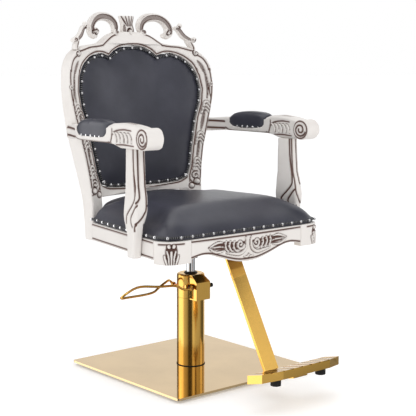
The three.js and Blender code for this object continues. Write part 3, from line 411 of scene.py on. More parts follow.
def fine_copy(name, sources, voxel, rounding=3, balls=()):
    """One closed, evenly meshed body shaped like the CAD nodes named, with balls (x, z and radius
    in mm) let into the back's front face."""
    bm = merged(*sources)
    for x, z, radius in balls:
        y = BACK_DEPTH + BACK_SLOPE * (z - BACK_Z) - BACK_BOW * x * x + EYE_SINK
        place = Matrix.Translation((x * MM, y * MM + AXIS_Y, z * MM))
        bmesh.ops.create_uvsphere(bm, u_segments=16, v_segments=10, radius=radius * MM, matrix=place)
    draft = link(name, mesh_from(bm, name))
    remesh = draft.modifiers.new("fine", "REMESH")
    remesh.mode = "VOXEL"
    remesh.voxel_size = voxel
    depsgraph = bpy.context.evaluated_depsgraph_get()
    fine = bpy.data.meshes.new_from_object(draft.evaluated_get(depsgraph))
    draft.modifiers.clear()
    draft.data = fine
    fine.name = name
    soften(fine, rounding)
    return draft


def vectors(items, kind):
    flat = np.empty(len(items) * 3)
    items.foreach_get(kind, flat)
    return flat.reshape(-1, 3)


def points_of(mesh):
    return vectors(mesh.vertices, "co")


def column_mm(co):
    """Points in millimetres, measured from the column's axis."""
    return co / MM - np.array([0, AXIS_Y / MM, 0])


# %% Lines on a face
def flow(points, steps=8):
    """A smooth line through a few points (Catmull-Rom)."""
    p = np.array(points, float)
    p = np.vstack([2 * p[0] - p[1], p, 2 * p[-1] - p[-2]])
    out = []
    for a, b, c, d in zip(p, p[1:], p[2:], p[3:]):
        for t in np.linspace(0, 1, steps, endpoint=False):
            out.append(0.5 * (2 * b + (c - a) * t + (2 * a - 5 * b + 4 * c - d) * t * t
                              + (3 * b - a - 3 * c + d) * t ** 3))
    return np.array(out + [p[-2]])


def curl(centre, radius, start, turns, shrink=0.2, steps=36):
    """A spiral that winds inward from a start angle in degrees."""
    t = np.linspace(0, 1, steps)
    angle = math.radians(start) + 2 * math.pi * turns * t
    r = radius * (1 - (1 - shrink) * t)
    return np.column_stack([centre[0] + r * np.cos(angle), centre[1] + r * np.sin(angle)])


def mark(kind, points, half, deep, taper):
    return kind, flow(points), half, deep, taper


groove, hollow, bead, ground = (partial(mark, kind) for kind in ("groove", "hollow", "bead", "ground"))


def oval(centre, wide, tall, steps):
    return np.array([(centre[0] + wide * math.cos(a), centre[1] + tall * math.sin(a))
                     for a in np.linspace(0, 2 * math.pi, steps)])


def shifted(line, amount):
    """The line moved sideways, to its left, by an amount."""
    way = np.gradient(line, axis=0)
    way /= np.linalg.norm(way, axis=1)[:, None] + TINY
    return line + amount * np.column_stack([-way[:, 1], way[:, 0]])


def flipped(marks):
    return [(kind, line * (-1, 1), *rest) for kind, line, *rest in marks]


def measure(points, line):
    """Each point's distance to the line, and where on the line (0 to 1) its nearest spot is."""
    near = np.full(len(points), np.inf)
    where = np.zeros(len(points))
    last = len(line) - 1
    for i in range(last):
        side = line[i + 1] - line[i]
        share = np.clip(((points - line[i]) @ side) / (side @ side + TINY), 0, 1)
        gap = np.linalg.norm(points - line[i] - share[:, None] * side, axis=1)
        closer = gap < near
        near[closer] = gap[closer]
        where[closer] = (i + share[closer]) / last
    return near, where


# %% Cutting
WIDEN = {"groove": 1.4, "hollow": 1.1, "bead": 1.1, "ground": 1.0}
DEEPEN = 1.55
CUT_SHADE, CUT_SHADE_REACH = 0.16, 3.5  # the faint painted shade round every cut, and how far it spreads
THINNEST = 0.3
HOLLOW_EDGE, BEAD_EDGE = 0.92, 1.35  # where the glaze and the painted shade gather, in half-widths from the middle


def cut(flat, marks):
    """Height to add (mm) and darkening (0 to 1) at each point of a flat view, for a list of marks.
    The darkening is brown glaze in the cuts together with painted shade in the grooves, hollows and
    creases. A mark is its kind, its line, its half-width, its height or depth, and how much it tapers."""
    height = np.zeros(len(flat))
    glaze_and_shade = np.zeros(len(flat))
    for kind, line, half, deep, taper in marks:
        half *= WIDEN[kind]
        deep *= DEEPEN
        reach = half * 3 + 4
        inside = np.all((flat > line.min(0) - reach) & (flat < line.max(0) + reach), axis=1)
        spots = np.flatnonzero(inside)
        if not len(spots):
            continue
        near, where = measure(flat[spots], line)
        wide = half * (1 - taper * np.abs(2 * where - 1) ** 2)
        r = near / np.maximum(wide, THINNEST)
        bowl = np.clip(1 - r * r, 0, 1)
        if kind != "ground":
            # painted shade that spreads a little round every cut
            cut_shade = CUT_SHADE * np.exp(-(near / (wide + CUT_SHADE_REACH)) ** 2)
            glaze_and_shade[spots] = np.maximum(glaze_and_shade[spots], cut_shade)
        if kind == "groove":
            height[spots] -= deep * bowl ** 1.5
            # glaze and painted shade down the groove, darkest along its middle
            glaze_and_shade[spots] = np.maximum(glaze_and_shade[spots], 0.95 * np.clip(1.15 - r, 0, 1) ** 0.7)
        elif kind == "hollow":
            height[spots] -= deep * np.sqrt(bowl)
            # painted shade over the whole hollow and along its rim, in the glaze's brown
            shade = 0.50 * bowl ** 0.5 + 0.5 * np.exp(-((r - HOLLOW_EDGE) / 0.2) ** 2)
            glaze_and_shade[spots] = np.maximum(glaze_and_shade[spots], np.where(r < 1.15, shade, 0))
        elif kind == "bead":
            height[spots] += deep * np.sqrt(bowl) - 0.45 * deep * np.exp(-((r - BEAD_EDGE) / 0.28) ** 2)
            # the bead's crown is wiped clean; glaze and painted shade gather in the crease at its foot
            glaze_and_shade[spots] = np.where(r < 0.8, glaze_and_shade[spots] * 0.1, glaze_and_shade[spots])
            glaze_and_shade[spots] = np.maximum(glaze_and_shade[spots], 0.85 * np.exp(-((r - BEAD_EDGE) / 0.30) ** 2))
        elif kind == "ground":
            flat_part = np.clip((1 - r) * 4, 0, 1)
            height[spots] -= deep * flat_part
            glaze_and_shade[spots] = np.maximum(glaze_and_shade[spots], 0.75 * flat_part)
    return height, glaze_and_shade


FACING_FROM, FACING_SPAN = 0.25, 0.35  # how squarely a surface must face the carver to be cut


def carve(piece, views):
    """Cuts a piece. Each view is its marks, a function from points in mm to flat coordinates, and
    the outward direction of the face that the marks are on."""
    mesh = piece.data
    co = points_of(mesh)
    normal = vectors(mesh.vertex_normals, "vector")
    mm = column_mm(co)
    glaze_and_shade = np.zeros(len(co))
    move = np.zeros_like(co)
    for marks, flatten, outward in views:
        direction = np.array(outward, float)
        direction /= np.linalg.norm(direction)
        facing = np.clip((normal @ direction - FACING_FROM) / FACING_SPAN, 0, 1)
        height, cut_glaze_and_shade = cut(flatten(mm), marks)
        move += (height * facing)[:, None] * direction
        glaze_and_shade = np.maximum(glaze_and_shade, cut_glaze_and_shade * facing)
    co += move * MM
    mesh.vertices.foreach_set("co", co.ravel())
    # brown glaze and painted shade of every cut, kept on the points for the paint to read
    layer = mesh.attributes.new("glaze_and_shade", "FLOAT", "POINT")
    layer.data.foreach_set("value", glaze_and_shade)
    mesh.materials.clear()
    mesh.materials.append(finishes["carved_wood"])
    mesh.update()


def front_view(mm):
    return mm[:, [0, 2]]


def side_view(mm):
    return mm[:, [1, 2]]


FRONT, REAR, UP = (0, -1, 0), (0, 1, 0), (0, 0, 1)
SIDES = (("right", 1), ("left", -1))


def carved(name, sources, voxel, views, balls=()):
    """A fine copy of CAD nodes that is carved and takes their place."""
    piece = fine_copy(name, sources, voxel, balls=balls)
    carve(piece, views)
    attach(piece, "seat")
    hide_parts(*sources)
    print(name, len(piece.data.polygons), "faces")


# %% [markdown]
# ## Stiles of the back
# Each stile carries a double line along its edges, long tapered slots, bands of overlapping
# leaves, and a C-scroll with a ball at its foot. The edges of the blank are read from its mesh
# at each height, so the lines follow it.

# %% Edges of a blank
LEVEL_BAND = 0.6  # points this close in height count as one level


def by_height(values, z):
    """Each height among the points, with the least and the greatest value there."""
    groups = [(level, values[np.abs(z - level) < LEVEL_BAND]) for level in sorted(set(np.round(z, 1)))]
    return np.array([(level, here.min(), here.max()) for level, here in groups])


stile_mm = points_of(nodes["back_stile_right"].data) / MM
stile_rows = by_height(np.abs(stile_mm[:, 0]), stile_mm[:, 2])
STILE_STEP = 12
INNER_MARGIN, OUTER_MARGIN = 10, 12


def stile_line(offset_in, offset_out, low, high, share):
    """A line up the stile at a share of the way from its inner to its outer edge."""
    z = np.arange(low, high + STILE_STEP, STILE_STEP)
    inner = np.interp(z, stile_rows[:, 0], stile_rows[:, 1]) + offset_in
    outer = np.interp(z, stile_rows[:, 0], stile_rows[:, 2]) - offset_out
    return np.column_stack([inner + share * (outer - inner), z])


# %% Stile marks
LEAVES, LEAF_PITCH = 3, 13


def leaf_band(z):
    """Overlapping leaf edges: arches that climb from the inner edge and fall outward."""
    marks = []
    for i in range(LEAVES):
        level = z + i * LEAF_PITCH
        inner, middle, outer = (stile_line(INNER_MARGIN, OUTER_MARGIN, level, level + 1, share)[0, 0]
                                for share in (0.0, 0.5, 1.0))
        arch = flow([(inner, level - 10), (middle - 6, level + 4), (middle + 4, level + 5),
                     (outer, level - 9)])
        marks.append(("bead", arch, 3.4, 3.4, 0.3))
    return marks


def slot(low, high, share, half):
    """A tapered hollow up the stile."""
    return [("hollow", stile_line(INNER_MARGIN, OUTER_MARGIN, low, high, share), half, 6.0, 0.5)]


def stile_marks():
    marks = [("groove", stile_line(5.5, 0, 628, 1040, 0.0), 2.1, 2.0, 0.0),
             ("groove", stile_line(0, 9, 640, 1040, 1.0), 2.1, 2.0, 0.0)]
    marks += slot(938, 1036, 0.55, 4.5)
    marks += leaf_band(893)
    marks += slot(822, 884, 0.5, 5.5)
    marks += leaf_band(778)
    marks += slot(718, 770, 0.5, 5)
    marks += leaf_band(682)
    foot = stile_line(6, 8, 640, 642, 0.5)[0, 0]
    marks += [
        ("groove", curl((foot + 2, 650), 17, 60, 1.15, 0.25), 2.2, 2.4, 0.0),
        ("bead", curl((foot + 2, 650), 12.5, 60, 0.9, 0.25), 3.0, 3.0, 0.2),
        ("bead", np.array([[foot + 6, 627], [foot + 6.5, 628]]), 8, 6, 0.0),
        ("bead", np.array([[foot - 16, 612], [foot - 15.5, 613]]), 7, 5, 0.0),
        groove([(foot - 20, 636), (foot - 8, 622), (foot + 20, 612)], 2.0, 1.6, 0.3),
    ]
    edge = stile_line(0, 10, 985, 986, 1.0)[0, 0]
    marks += [
        ("bead", curl((edge - 1, 992), 8, 200, 0.9, 0.3), 2.2, 2.0, 0.0),
        groove([(edge - 9, 986), (edge - 10, 960), (edge - 4, 930)], 1.8, 1.5, 0.5),
    ]
    return marks


print("stile marks:", len(stile_marks()))

# %% [markdown]
# ## Crest rail
# The crest rail has the same inner and outer lines. Its outer ends finish in small volutes, and the
# line along its top dips to a cusp on each side of the middle.

# %% Crest rail
crest_top = flow([(318, 1046), (312, 1068), (296, 1092), (270, 1108)])
crest_edge = flow([(262, 1112), (236, 1118), (200, 1127), (165, 1130), (134, 1134)])
crest_arch = flow([(134, 1134), (112, 1150), (86, 1166), (62, 1174)])
crest_inner = flow([(266, 1041), (256, 1062), (240, 1079), (208, 1100), (170, 1112), (138, 1112),
                    (109, 1103)])
crest_inner_arch = flow([(109, 1103), (86, 1121), (58, 1133), (28, 1139), (0, 1140)])
crest_lines = (shifted(crest_top, 8), crest_edge, crest_arch, crest_inner, crest_inner_arch)
crest_marks = [("groove", line, 2.1, 2.0, 0.0) for line in crest_lines]
crest_marks += [
    ("groove", curl((266, 1106), 13, 100, 1.2, 0.25), 2.0, 2.4, 0.0),
    ("bead", curl((266, 1106), 8.5, 100, 0.9, 0.2), 3.2, 3.5, 0.0),
    hollow([(268, 1078), (284, 1056), (290, 1038)], 5, 4, 0.6),
]
lower_line = flow([(196, 645), (184, 637), (160, 628), (120, 624), (80, 622), (0, 622)])
lower_marks = [("groove", lower_line, 2.2, 2.0, 0.0)]

# %% The back frame in one skin
# The paint runs over the joints of the four frame pieces, so they share one skin.
BACK_FRAME = ["back_stile_right", "back_stile_left", "back_crest_rail", "back_lower_rail"]
half_marks = stile_marks() + crest_marks + lower_marks
carved("carved_back_frame", BACK_FRAME, FRAME_MESH,
       [(half_marks + flipped(half_marks), front_view, FRONT)])

# %% [markdown]
# ## Crest scrolls, ears and shell
# The two big C-scrolls are hollowed along their whole length, and end in a tight curl. Between
# them a fluted shell fans out above an oval jewel, with a pointed leaf below it.

# %% Crest carvings
scroll_line = flow([(62, 1184), (57, 1194), (62, 1214), (80, 1230), (104, 1237), (132, 1236), (157, 1224),
                    (174, 1202), (175, 1181)])
scroll_marks = [
    ("hollow", scroll_line, 7.5, 8, 0.2),
    ("groove", shifted(scroll_line, 14), 1.5, 1.4, 0.0),
    ("groove", shifted(scroll_line, -14), 1.5, 1.4, 0.0),
    ("groove", curl((163, 1179), 11, 20, 1.1, 0.25), 2.0, 2.5, 0.0),
    ("bead", curl((163, 1179), 6.5, 20, 0.8, 0.2), 2.8, 3.0, 0.0),
]
ear_marks = [
    hollow([(208, 1196), (217, 1190), (228, 1175), (240, 1164), (256, 1155)], 5.5, 5, 0.4),
    ("groove", curl((206, 1198), 7, 0, 0.9, 0.3), 1.8, 2.0, 0.0),
    ("groove", curl((272, 1151), 7, 90, 0.9, 0.3), 1.8, 2.0, 0.0),
    groove([(254, 1146), (261, 1132), (264, 1120)], 1.8, 2.0, 0.3),
]
SCROLL_EYES = [(161, 1184, 13), (62, 1180, 12)]
EAR_EYES = [(214, 1207, 10), (266, 1156, 10)]
CREST_PARTS = (("crest_scroll", scroll_marks, SCROLL_EYES), ("crest_ear", ear_marks, EAR_EYES))
for side, sign in SIDES:
    for part, marks, eyes in CREST_PARTS:
        carved(f"carved_{part}_{side}", [f"{part}_{side}"], SMALL_MESH,
               [(marks if sign > 0 else flipped(marks), front_view, FRONT)],
               balls=[(x * sign, z, r) for x, z, r in eyes])

JEWEL, JEWEL_WIDE, JEWEL_TALL = (0, 1182), 9, 13
shell_marks = [
    ("groove", oval(JEWEL, JEWEL_WIDE, JEWEL_TALL, 33), 3.0, 4.0, 0.0),
    ("bead", np.array([[0, 1178], [0, 1186]]), 5.5, 6.0, 0.0),
    groove([(0, 1166), (0, 1152)], 1.8, 2.0, 0.4),
]
for lean in (-24, -12, 0, 12, 24):
    ray_line = flow([(lean * 0.35, 1203), (lean * 0.8, 1222), (lean * 1.2, 1240)])
    shell_marks.append(("groove", ray_line, 2.0, 2.6, 0.5))
for hand in (-1, 1):
    shell_marks += [
        groove([(hand * 8, 1164), (hand * 12, 1158), (hand * 15, 1150)], 1.8, 2.0, 0.4),
        hollow([(hand * 17, 1172), (hand * 20, 1190), (hand * 18, 1208)], 4.0, 3.5, 0.5),
    ]
carved("carved_crest_shell", ["crest_shell"], SMALL_MESH, [(shell_marks, front_view, FRONT)])

# %% [markdown]
# ## Seat rails
# The front rail is cut with two volutes set back to back, with fronds and a leaf running out to each
# side, on a lowered brown ground. A bead runs along its top and follows its wavy lower edge. Each
# front corner has a leaf that opens downward under a pair of balls.

# %% Front rail
rail_half = [
    ground([(20, 489), (60, 484), (100, 489), (150, 489)], 17, 2.2, 0.5),
    ("bead", curl((36, 488), 17, 190, 1.15, 0.2), 3.6, 4.0, 0.0),
    bead([(12, 508), (10, 492), (16, 470), (38, 457), (66, 460), (96, 466)], 4.0, 3.6, 0.4),
    bead([(62, 500), (66, 484), (56, 468)], 3.6, 3.6, 0.3),
    bead([(80, 502), (84, 486), (74, 468)], 3.6, 3.6, 0.3),
    bead([(98, 503), (101, 488), (92, 470)], 3.6, 3.4, 0.3),
    bead([(112, 500), (128, 503), (146, 500), (172, 491)], 3.0, 3.0, 0.4),
    bead([(110, 474), (130, 472), (150, 475), (172, 489)], 3.0, 3.0, 0.4),
    bead([(108, 486), (128, 488), (160, 489)], 2.4, 2.6, 0.5),
    bead([(0, 452), (6, 444), (20, 446)], 3.0, 2.6, 0.4),
    groove([(0, 515.5), (120, 516), (243, 517)], 2.2, 2.0, 0.0),
    groove([(0, 437), (40, 439), (85, 449), (125, 461), (165, 472), (200, 474), (243, 467)], 2.2, 2.0, 0.0),
]
carved("carved_front_rail", ["front_rail"], VOXEL,
       [(rail_half + flipped(rail_half), front_view, FRONT)])

# %% Front corners
CORNER_X, CORNER_Y = 318, -288
CORNER_ACROSS, CORNER_OUT = 0.78, 0.62  # the diagonal face's direction
CORNER_MESH = 0.002


def corner_view(sign):
    """Flattens a corner block along its diagonal: across it, and up."""
    def flatten(mm):
        across = (mm[:, 0] * sign - CORNER_X) * CORNER_ACROSS + (mm[:, 1] - CORNER_Y) * CORNER_OUT
        return np.column_stack([across, mm[:, 2]])
    return flatten


corner_leaf = [
    ground([(0, 496), (0, 458)], 22, 2.0, 0.0),
    bead([(0, 492), (0, 452)], 3.6, 4.0, 0.0),
    bead([(-7, 508), (-7.5, 509)], 5.5, 4.5, 0.0),
    bead([(7, 508), (7.5, 509)], 5.5, 4.5, 0.0),
    groove([(-40, 515), (-14, 516)], 2.0, 1.8, 0.0),
    groove([(14, 516), (40, 515)], 2.0, 1.8, 0.0),
]
for hand in (-1, 1):
    corner_leaf += [
        bead([(hand * 14, 494), (hand * 9, 476), (hand * 7, 452)], 3.2, 3.4, 0.2),
        bead([(hand * 22, 480), (hand * 18, 466), (hand * 14, 452)], 3.2, 3.2, 0.2),
    ]
for side, sign in SIDES:
    carved(f"carved_corner_{side}", [f"front_corner_{side}"], CORNER_MESH,
           [(corner_leaf, corner_view(sign), (sign * CORNER_OUT, -CORNER_ACROSS, 0))])

# %% Side and rear rails
SIDE_RAIL_MESH, REAR_RAIL_MESH = 0.003, 0.004
side_rail_marks = [groove([(-228, 469), (0, 469), (212, 469)], 2.0, 1.8, 0.0),
                   groove([(-228, 517), (0, 517), (212, 517)], 2.0, 1.6, 0.0)]
for side, sign in SIDES:
    carved(f"moulded_side_rail_{side}", [f"side_rail_{side}"], SIDE_RAIL_MESH,
           [(side_rail_marks, side_view, (sign, 0, 0))])
rear_marks = [groove([(-190, 469), (0, 469), (190, 469)], 2.4, 1.6, 0.0)]
carved("moulded_rear_rail", ["rear_rail"], REAR_RAIL_MESH, [(rear_marks, front_view, REAR)])

# %% [markdown]
# ## Arms
# The arm ends in a rolled hand with a spiral on each side face, and a leaf behind it. The post
# below is lined down its front and sides. The lines of the sides sweep back where the post swells,
# so each of their points is given by its height and its distance behind the post's front edge.

# %% Arm rails
ROLL, ROLL_RING = (-216, 842), 30
ROLL_TOE = 0.1
LEAF_STROKES, STROKE_PITCH, FIRST_STROKE = 5, 19, -160
arm_marks = [
    ("groove", oval(ROLL, ROLL_RING, ROLL_RING, 40), 2.2, 2.0, 0.0),
    ("groove", curl(ROLL, 24, 200, 1.5, 0.25), 2.6, 3.0, 0.0),
    groove([(-158, 866), (-120, 868), (-78, 862), (-62, 850)], 2.0, 1.8, 0.2),
    groove([(-170, 818), (-120, 820), (-78, 818)], 2.0, 1.6, 0.3),
    groove([(-58, 868), (-56, 845), (-48, 824), (-34, 812)], 2.4, 2.4, 0.2),
]
for i in range(LEAF_STROKES):
    y = FIRST_STROKE + STROKE_PITCH * i
    arm_marks.append(bead([(y, 828), (y + 3, 842), (y + 12, 854), (y + 20, 856)], 3.0, 3.0, 0.4))
arm_marks += [groove([(182, 853), (230, 854), (320, 854)], 3.0, 2.4, 0.0),
              groove([(182, 828), (230, 828), (320, 828)], 3.0, 2.4, 0.0),
              groove([(-40, 824), (-20, 821), (60, 820), (150, 821), (176, 830)], 2.4, 2.0, 0.0)]
top_marks = [groove([(x, -150), (x, -110), (x, -66)], 2.2, 2.0, 0.4) for x in (334, 342, 350)]


def top_view(sign):
    return lambda mm: np.column_stack([mm[:, 0] * sign, mm[:, 1]])


for side, sign in SIDES:
    carved(f"carved_arm_{side}", [f"arm_rail_{side}"], VOXEL,
           [(arm_marks, side_view, (1, ROLL_TOE * sign, 0)),
            (arm_marks, side_view, (-1, -ROLL_TOE * sign, 0)),
            (top_marks, top_view(sign), UP)])

# %% Arm posts
SPLAY = 0.166
out_way = np.array([1, SPLAY]) / math.hypot(1, SPLAY)
back_way = np.array([-SPLAY, 1]) / math.hypot(1, SPLAY)
POST_ROOT = np.array([330.7, -133])


def post_plan(mm, sign):
    """Distance outward and backward from the post's root, in the seat side's own directions."""
    plan = np.column_stack([mm[:, 0] * sign, mm[:, 1]]) - POST_ROOT
    return plan @ out_way, plan @ back_way


post_mm = column_mm(points_of(nodes["arm_post_right"].data))
post_rows = by_height(post_plan(post_mm, 1)[1], post_mm[:, 2])


def swept(spots):
    """A line of (height, distance behind the post's front edge) as flat side coordinates."""
    return flow([(np.interp(z, post_rows[:, 0], post_rows[:, 1]) + back, z) for z, back in spots])


post_face = [
    groove([(16, 806), (16, 740), (17, 665), (21, 648), (32, 636)], 2.5, 2.8, 0.0),
    groove([(-7, 806), (-7, 700), (-5, 625), (4, 602), (16, 585), (32, 570)], 2.5, 2.8, 0.0),
]
post_side = [
    ("groove", swept([(806, 7), (740, 7), (668, 7), (645, 14), (622, 36), (604, 56), (590, 66), (568, 62)]),
     2.4, 2.6, 0.0),
    ("groove", swept([(634, -2), (622, 10), (604, 26), (590, 36), (574, 32), (560, 20)]), 2.4, 2.6, 0.0),
    ("groove", swept([(572, -2), (562, 6), (548, 5)]), 2.2, 2.2, 0.0),
]
print("post lines:", len(post_face), "on the face,", len(post_side), "on each side")


OUTWARD, BACKWARD = 0, 1


def post_view(sign, way):
    return lambda mm: np.column_stack([post_plan(mm, sign)[way], mm[:, 2]])


for side, sign in SIDES:
    outward = (sign * out_way[0], out_way[1], 0)
    inward = tuple(-v for v in outward)
    carved(f"carved_post_{side}", [f"arm_post_{side}"], VOXEL,
           [(post_face, post_view(sign, OUTWARD), (-sign * back_way[0], -back_way[1], 0)),
            (post_side, post_view(sign, BACKWARD), outward), (post_side, post_view(sign, BACKWARD), inward)])

# %% [markdown]
# ## Upholstery
# Leather stretched over foam is a skin under pressure that is nailed down at its edge. Cloth
# simulation gives that shape: the piece is pinned where the nails hold it and inflated a little.
# How far a point may move is capped, so the cushion can't swell through the frame.

# %% Stuffed pads
CLOTH_FRAMES = 20
CLOTH_STEPS = 4
BLANK_ROUNDING = 2


def stuffed(name, node, voxel, pin, cap, pressure, ease):
    """A leather pad from a CAD solid, pinned where pin(points in mm) is true. No point moves
    farther than the cap, in metres, and the free leather is then eased a number of times."""
    pad = fine_copy(name, [node], voxel, BLANK_ROUNDING)
    start = points_of(pad.data)
    mm = column_mm(start)
    held = pin(mm)
    group = pad.vertex_groups.new(name="nailed")
    group.add([int(i) for i in np.flatnonzero(held)], 1.0, "REPLACE")
    cloth = pad.modifiers.new("inflate", "CLOTH")
    cloth.settings.quality = CLOTH_STEPS
    cloth.settings.use_pressure = True
    cloth.settings.uniform_pressure_force = pressure
    cloth.settings.effector_weights.gravity = 0
    cloth.settings.vertex_group_mass = "nailed"
    for step in range(1, CLOTH_FRAMES + 1):
        bpy.context.scene.frame_set(step)
    depsgraph = bpy.context.evaluated_depsgraph_get()
    swollen = bpy.data.meshes.new_from_object(pad.evaluated_get(depsgraph))
    end = points_of(swollen)
    move = end - start
    far = np.linalg.norm(move, axis=1)
    move *= np.minimum(1, cap / np.maximum(far, TINY))[:, None]
    pad.modifiers.clear()
    pad.data.vertices.foreach_set("co", (start + move).ravel())
    bpy.context.scene.frame_set(1)
    print(name, "swelled", round(float(far.max()) / MM, 1), "mm at most")
    pad.data.materials.clear()
    pad.data.materials.append(finishes["leather"])
    soften(pad.data, ease, np.flatnonzero(~held))
    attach(pad, "seat")
    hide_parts(node)
    return pad


def nailed_below(level):
    return lambda mm: mm[:, 2] < level


# %% Seat cushion
stuffed("seat_cushion_leather", "seat_cushion", 0.0065, nailed_below(540), cap=0.022, pressure=7.0, ease=40)

# %% [markdown]
# ## Lines that the nails follow
# The CAD trims are plain bands. Each is a run of four-cornered sections, so pairing every point
# with its nearest neighbour, twice, gives the middle of the band. Walking from one middle to the
# next nearest puts them in order. The same line then carries the gimp cord and spaces the nails.


# %% Middle of a band
FAR_OFF = 1e9
CUSP = 38  # degrees: a sharper turn than this is a corner of the trim


def pair_up(points):
    """The middle of each pair of points that are nearest to each other."""
    gap = np.linalg.norm(points[:, None] - points[None], axis=2)
    np.fill_diagonal(gap, FAR_OFF)
    mate = gap.argmin(1)
    return np.array([(points[i] + points[m]) / 2 for i, m in enumerate(mate) if i < m or mate[m] != i])


def walk(points, start):
    """The points in order, each followed by the nearest one left."""
    left = list(range(len(points)))
    order = [left.pop(start)]
    while left:
        here = points[order[-1]]
        step = min(left, key=lambda i: np.linalg.norm(points[i] - here))
        left.remove(step)
        order.append(step)
    return points[order]


def middle_line(node, start):
    bm = merged(node)
    points = np.array([v.co for v in bm.verts])
    bm.free()
    line = pair_up(pair_up(points))
    return walk(line, start(line))


def evenly(line, pitch, closed):
    """Points about a pitch apart along a line, with one at every corner of it."""
    if closed:
        line = np.vstack([line, line[:1]])
    way = np.diff(line, axis=0)
    way /= np.linalg.norm(way, axis=1)[:, None] + 1e-12
    turn = np.degrees(np.arccos(np.clip((way[:-1] * way[1:]).sum(1), -1, 1)))
    corners = [0, *(i + 1 for i in range(len(turn)) if turn[i] > CUSP), len(line) - 1]
    out = []
    for a, b in zip(corners, corners[1:]):
        run = line[a:b + 1]
        at = np.concatenate([[0], np.cumsum(np.linalg.norm(np.diff(run, axis=0), axis=1))])
        steps = max(1, round(at[-1] / pitch))
        for t in np.linspace(0, at[-1], steps, endpoint=False):
            out.append([np.interp(t, at, run[:, k]) for k in range(3)])
    if not closed:
        out.append(line[-1])
    return np.array(out)


back_line = middle_line("back_nail_trim", lambda p: int(p[:, 2].argmin()))
seat_line = middle_line("seat_nail_trim", lambda p: int((p[:, 1] + p[:, 0] * 0.1).argmax()))
print("back trim stations:", len(back_line), "seat trim stations:", len(seat_line))

# %% [markdown]
# ## Gimp cord and dome nails
# The cord is a thin tube swept along the line: a curve with a bevel gives the tube, and it is made
# a mesh so that its twist can be drawn with an attribute that counts millimetres along it. A nail
# is a squashed half ball with few faces, because there are more than a hundred of them.


# %% Cord
CORD_LAY = 7  # millimetres from one stitch to the next
CORD_DARK, STITCH = (0.006, 0.006, 0.008), (0.30, 0.30, 0.32)
CORD_STEP = 0.004
CORD_R, PAD_CORD_R = 0.0036, 0.0026


def twisted_cord():
    look, tree, shader = new_material("dark gimp cord")
    along = add(tree, "ShaderNodeAttribute", attribute_name="along")
    ply = add(tree, "ShaderNodeMath", {1: 2 * math.pi / CORD_LAY}, operation="MULTIPLY")
    wave = add(tree, "ShaderNodeMath", operation="SINE")
    tree.links.new(along.outputs["Fac"], ply.inputs[0])
    tree.links.new(ply.outputs[0], wave.inputs[0])
    colour_by(tree, shader, wave.outputs[0], CORD_DARK, STITCH, 0.80, 1.0)
    give(shader, {"Roughness": 0.55})
    bump(tree, shader, wave.outputs[0], 0.5, 0.0008)
    return look


finishes["gimp"] = twisted_cord()


def cord_along(name, line, radius, closed, shift=(0, 0, 0)):
    """A twisted cord along a line, moved by the shift."""
    curve = bpy.data.curves.new(name, "CURVE")
    curve.dimensions = "3D"
    curve.bevel_depth = radius
    curve.bevel_resolution = 2
    curve.use_fill_caps = not closed
    spline = curve.splines.new("POLY")
    spots = evenly(line, CORD_STEP, closed) + np.array(shift)
    spline.points.add(len(spots) - 1)
    spline.points.foreach_set("co", np.column_stack([spots, np.ones(len(spots))]).ravel())
    spline.use_cyclic_u = closed
    draft = link(name + "_path", curve)
    bpy.context.view_layer.update()
    depsgraph = bpy.context.evaluated_depsgraph_get()
    mesh = bpy.data.meshes.new_from_object(draft.evaluated_get(depsgraph))
    bpy.data.objects.remove(draft)
    bm = bmesh.new()
    bm.from_mesh(mesh)
    bmesh.ops.remove_doubles(bm, verts=bm.verts, dist=SAME_SPOT)
    bmesh.ops.recalc_face_normals(bm, faces=bm.faces)
    bm.to_mesh(mesh)
    bm.free()
    piece = link(name, mesh)
    mesh.name = name
    co = points_of(mesh)
    steps = np.concatenate([[0], np.cumsum(np.linalg.norm(np.diff(spots, axis=0), axis=1))]) / MM
    gap = ((co[:, None, :] - spots[None]) ** 2).sum(2)
    layer = mesh.attributes.new("along", "FLOAT", "POINT")
    layer.data.foreach_set("value", steps[gap.argmin(1)])
    mesh.materials.clear()
    mesh.materials.append(finishes["gimp"])
    mesh.shade_smooth()
    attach(piece, "seat")
    print(name, len(mesh.polygons), "faces")
    return piece


# %% Nails
NAIL_R = 0.0053
NAIL_FLATNESS = 0.75
NAIL_SUNK = 0.0015  # how far below its spot a nail's dome goes on


def nails(name, spots, outward):
    """Dome nails at the spots, each facing its own outward direction."""
    bm = bmesh.new()
    for i, spot in enumerate(spots):
        way = Vector(outward[i]).normalized()
        stand = Matrix.Translation(Vector(spot)) @ way.to_track_quat("Z", "Y").to_matrix().to_4x4()
        ball = bmesh.ops.create_uvsphere(bm, u_segments=12, v_segments=8, radius=NAIL_R,
                                         matrix=stand @ Matrix.Diagonal((1, 1, NAIL_FLATNESS, 1)))
        low = [v for v in ball["verts"] if (v.co - Vector(spot)).dot(way) < -NAIL_SUNK]
        bmesh.ops.delete(bm, geom=low, context="VERTS")
    bmesh.ops.holes_fill(bm, edges=[e for e in bm.edges if e.is_boundary], sides=0)
    bmesh.ops.recalc_face_normals(bm, faces=bm.faces)
    mesh = mesh_from(bm, name)
    mesh.materials.append(finishes["nails"])
    mesh.shade_smooth()
    piece = link(name, mesh)
    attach(piece, "seat")
    print(name, len(spots), "nails")
    return piece


# %% Trim of the back
BACK_CORD_FORWARD, BACK_NAIL_FORWARD = (0, -0.0015, 0), (0, -0.0050, 0)
BACK_NAIL_PITCH, SEAT_NAIL_PITCH = 0.0395, 0.0435
BACK_FACING = (0.0, -1, 0.12)
back_cord = cord_along("back_gimp_cord", back_line, CORD_R, True, BACK_CORD_FORWARD)
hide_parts("back_nail_trim")
back_spots = evenly(back_line, BACK_NAIL_PITCH, True) + np.array(BACK_NAIL_FORWARD)
nails("back_nails", back_spots, [BACK_FACING] * len(back_spots))

